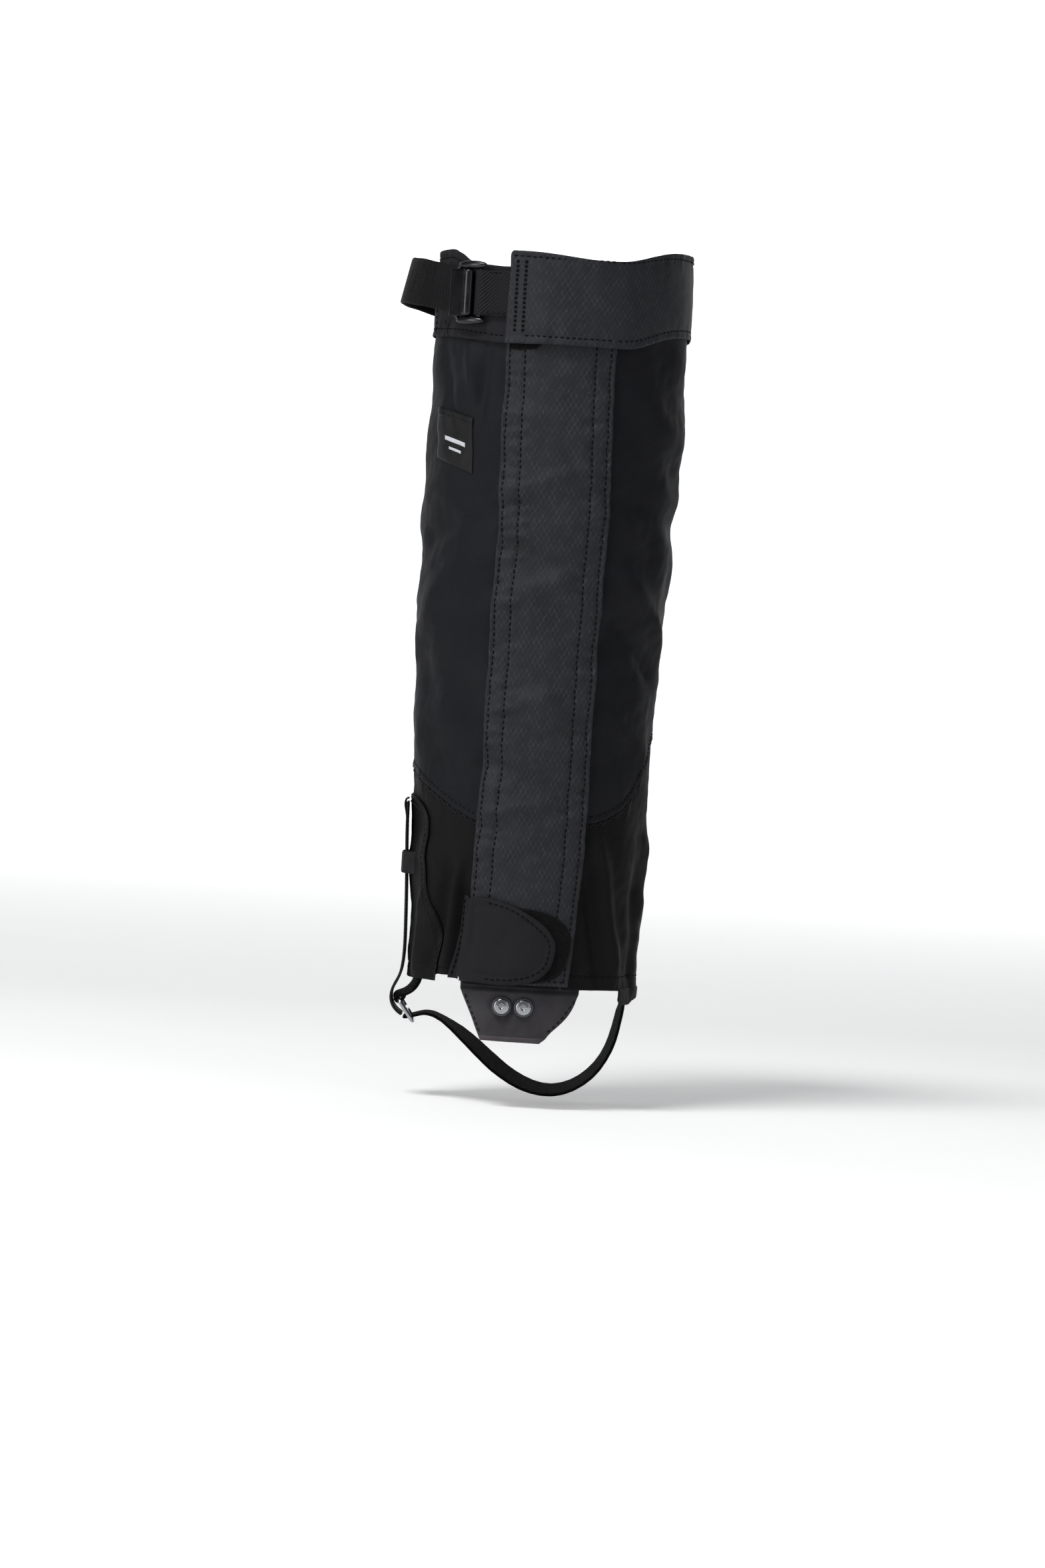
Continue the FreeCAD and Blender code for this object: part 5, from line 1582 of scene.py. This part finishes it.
# ---------------------------------------------------------------- floor, light and camera


def plain_floor():
    """Pale paper, glowing a little, and more so further away."""
    p = Paint("studio_paper", rough=0.9, specular=0.1)
    p.paint(p.mix(p.noise(6.0, 2.0), (0.86, 0.86, 0.855, 1), (0.9, 0.9, 0.895, 1)))
    p.bump(p.noise(300.0, 3.0), 0.05, 0.0004)
    p.shader.inputs["Emission Color"].default_value = (1, 1, 1, 1)
    away = p.tree.nodes.new("ShaderNodeSeparateXYZ")
    p.tree.links.new(p.place, away.inputs[0])
    p.put(p.spread(away.outputs[1], 0.8, 4.0, 0.22, 0.85), p.shader.inputs["Emission Strength"])
    return p.material


FLOOR_Z = -65.5
# y and rise of the paper where it curves up behind
SWEEP = [(6000.0, 0.0), (7000.0, 60.0), (7600.0, 500.0), (7900.0, 1500.0), (8000.0, 5000.0)]
sweep_line = np.concatenate([[[-7000.0, 0.0]], along(SWEEP, 60)]) + [0.0, FLOOR_Z]
sweep_verts = [(x * MM, y * MM, z * MM) for y, z in sweep_line for x in (-9000.0, 9000.0)]
sweep_faces = [(2 * i, 2 * i + 1, 2 * i + 3, 2 * i + 2) for i in range(len(sweep_line) - 1)]
floor = add_mesh("studio_floor", sweep_verts, sweep_faces, [(v[0], v[1]) for v in sweep_verts], plain_floor())


def soft_light(name, place, aim, size, power, tall=None):
    data = bpy.data.lights.new(name, "AREA")
    data.shape = "DISK" if tall is None else "RECTANGLE"
    data.size = size
    data.size_y = tall or size
    data.energy = power
    light = bpy.data.objects.new(name, data)
    light.location = place
    light.rotation_euler = (Vector(aim) - Vector(place)).to_track_quat("-Z", "Y").to_euler()
    bpy.context.scene.collection.objects.link(light)


soft_light("key", (-0.9, -1.3, 2.5), (0, 0, 0.17), 0.9, 56)
soft_light("fill", (1.9, -1.7, 0.9), (0, 0, 0.17), 1.6, 5)
soft_light("strip", (-1.9, -1.3, 0.6), (0, 0, 0.2), 0.8, 16, tall=1.3)
world = bpy.data.worlds.new("studio")
world.use_nodes = True
world.node_tree.nodes["Background"].inputs[0].default_value = (0.93, 0.95, 1.0, 1)
world.node_tree.nodes["Background"].inputs[1].default_value = 0.2
scene = bpy.context.scene
scene.world = world
scene.view_settings.view_transform = "Standard"
scene.view_settings.look = "None"

CAMERA_DISTANCE = 3.0
PHOTO_TILT = math.radians(1.2)
PHOTO_ROLL = math.radians(3.5)
FRAME_HEIGHT = 0.8467
target = Vector((-0.0066, -0.03, 0.1085))
forward = Vector((0, math.cos(PHOTO_TILT), -math.sin(PHOTO_TILT)))
level_right = Vector((1, 0, 0))
level_up = level_right.cross(forward)
right = level_right * math.cos(PHOTO_ROLL) + level_up * math.sin(PHOTO_ROLL)
up = -level_right * math.sin(PHOTO_ROLL) + level_up * math.cos(PHOTO_ROLL)
camera_data = bpy.data.cameras.new("camera")
camera_data.sensor_fit = "VERTICAL"
camera_data.sensor_height = 36.0
camera_data.sensor_width = 24.0
camera_data.lens = 36.0 * CAMERA_DISTANCE / FRAME_HEIGHT
camera_data.clip_end = 50.0
camera = bpy.data.objects.new("camera", camera_data)
place = target - forward * CAMERA_DISTANCE
camera.matrix_world = Matrix((
    (right.x, up.x, -forward.x, place.x),
    (right.y, up.y, -forward.y, place.y),
    (right.z, up.z, -forward.z, place.z),
    (0, 0, 0, 1),
))
scene.collection.objects.link(camera)
scene.camera = camera
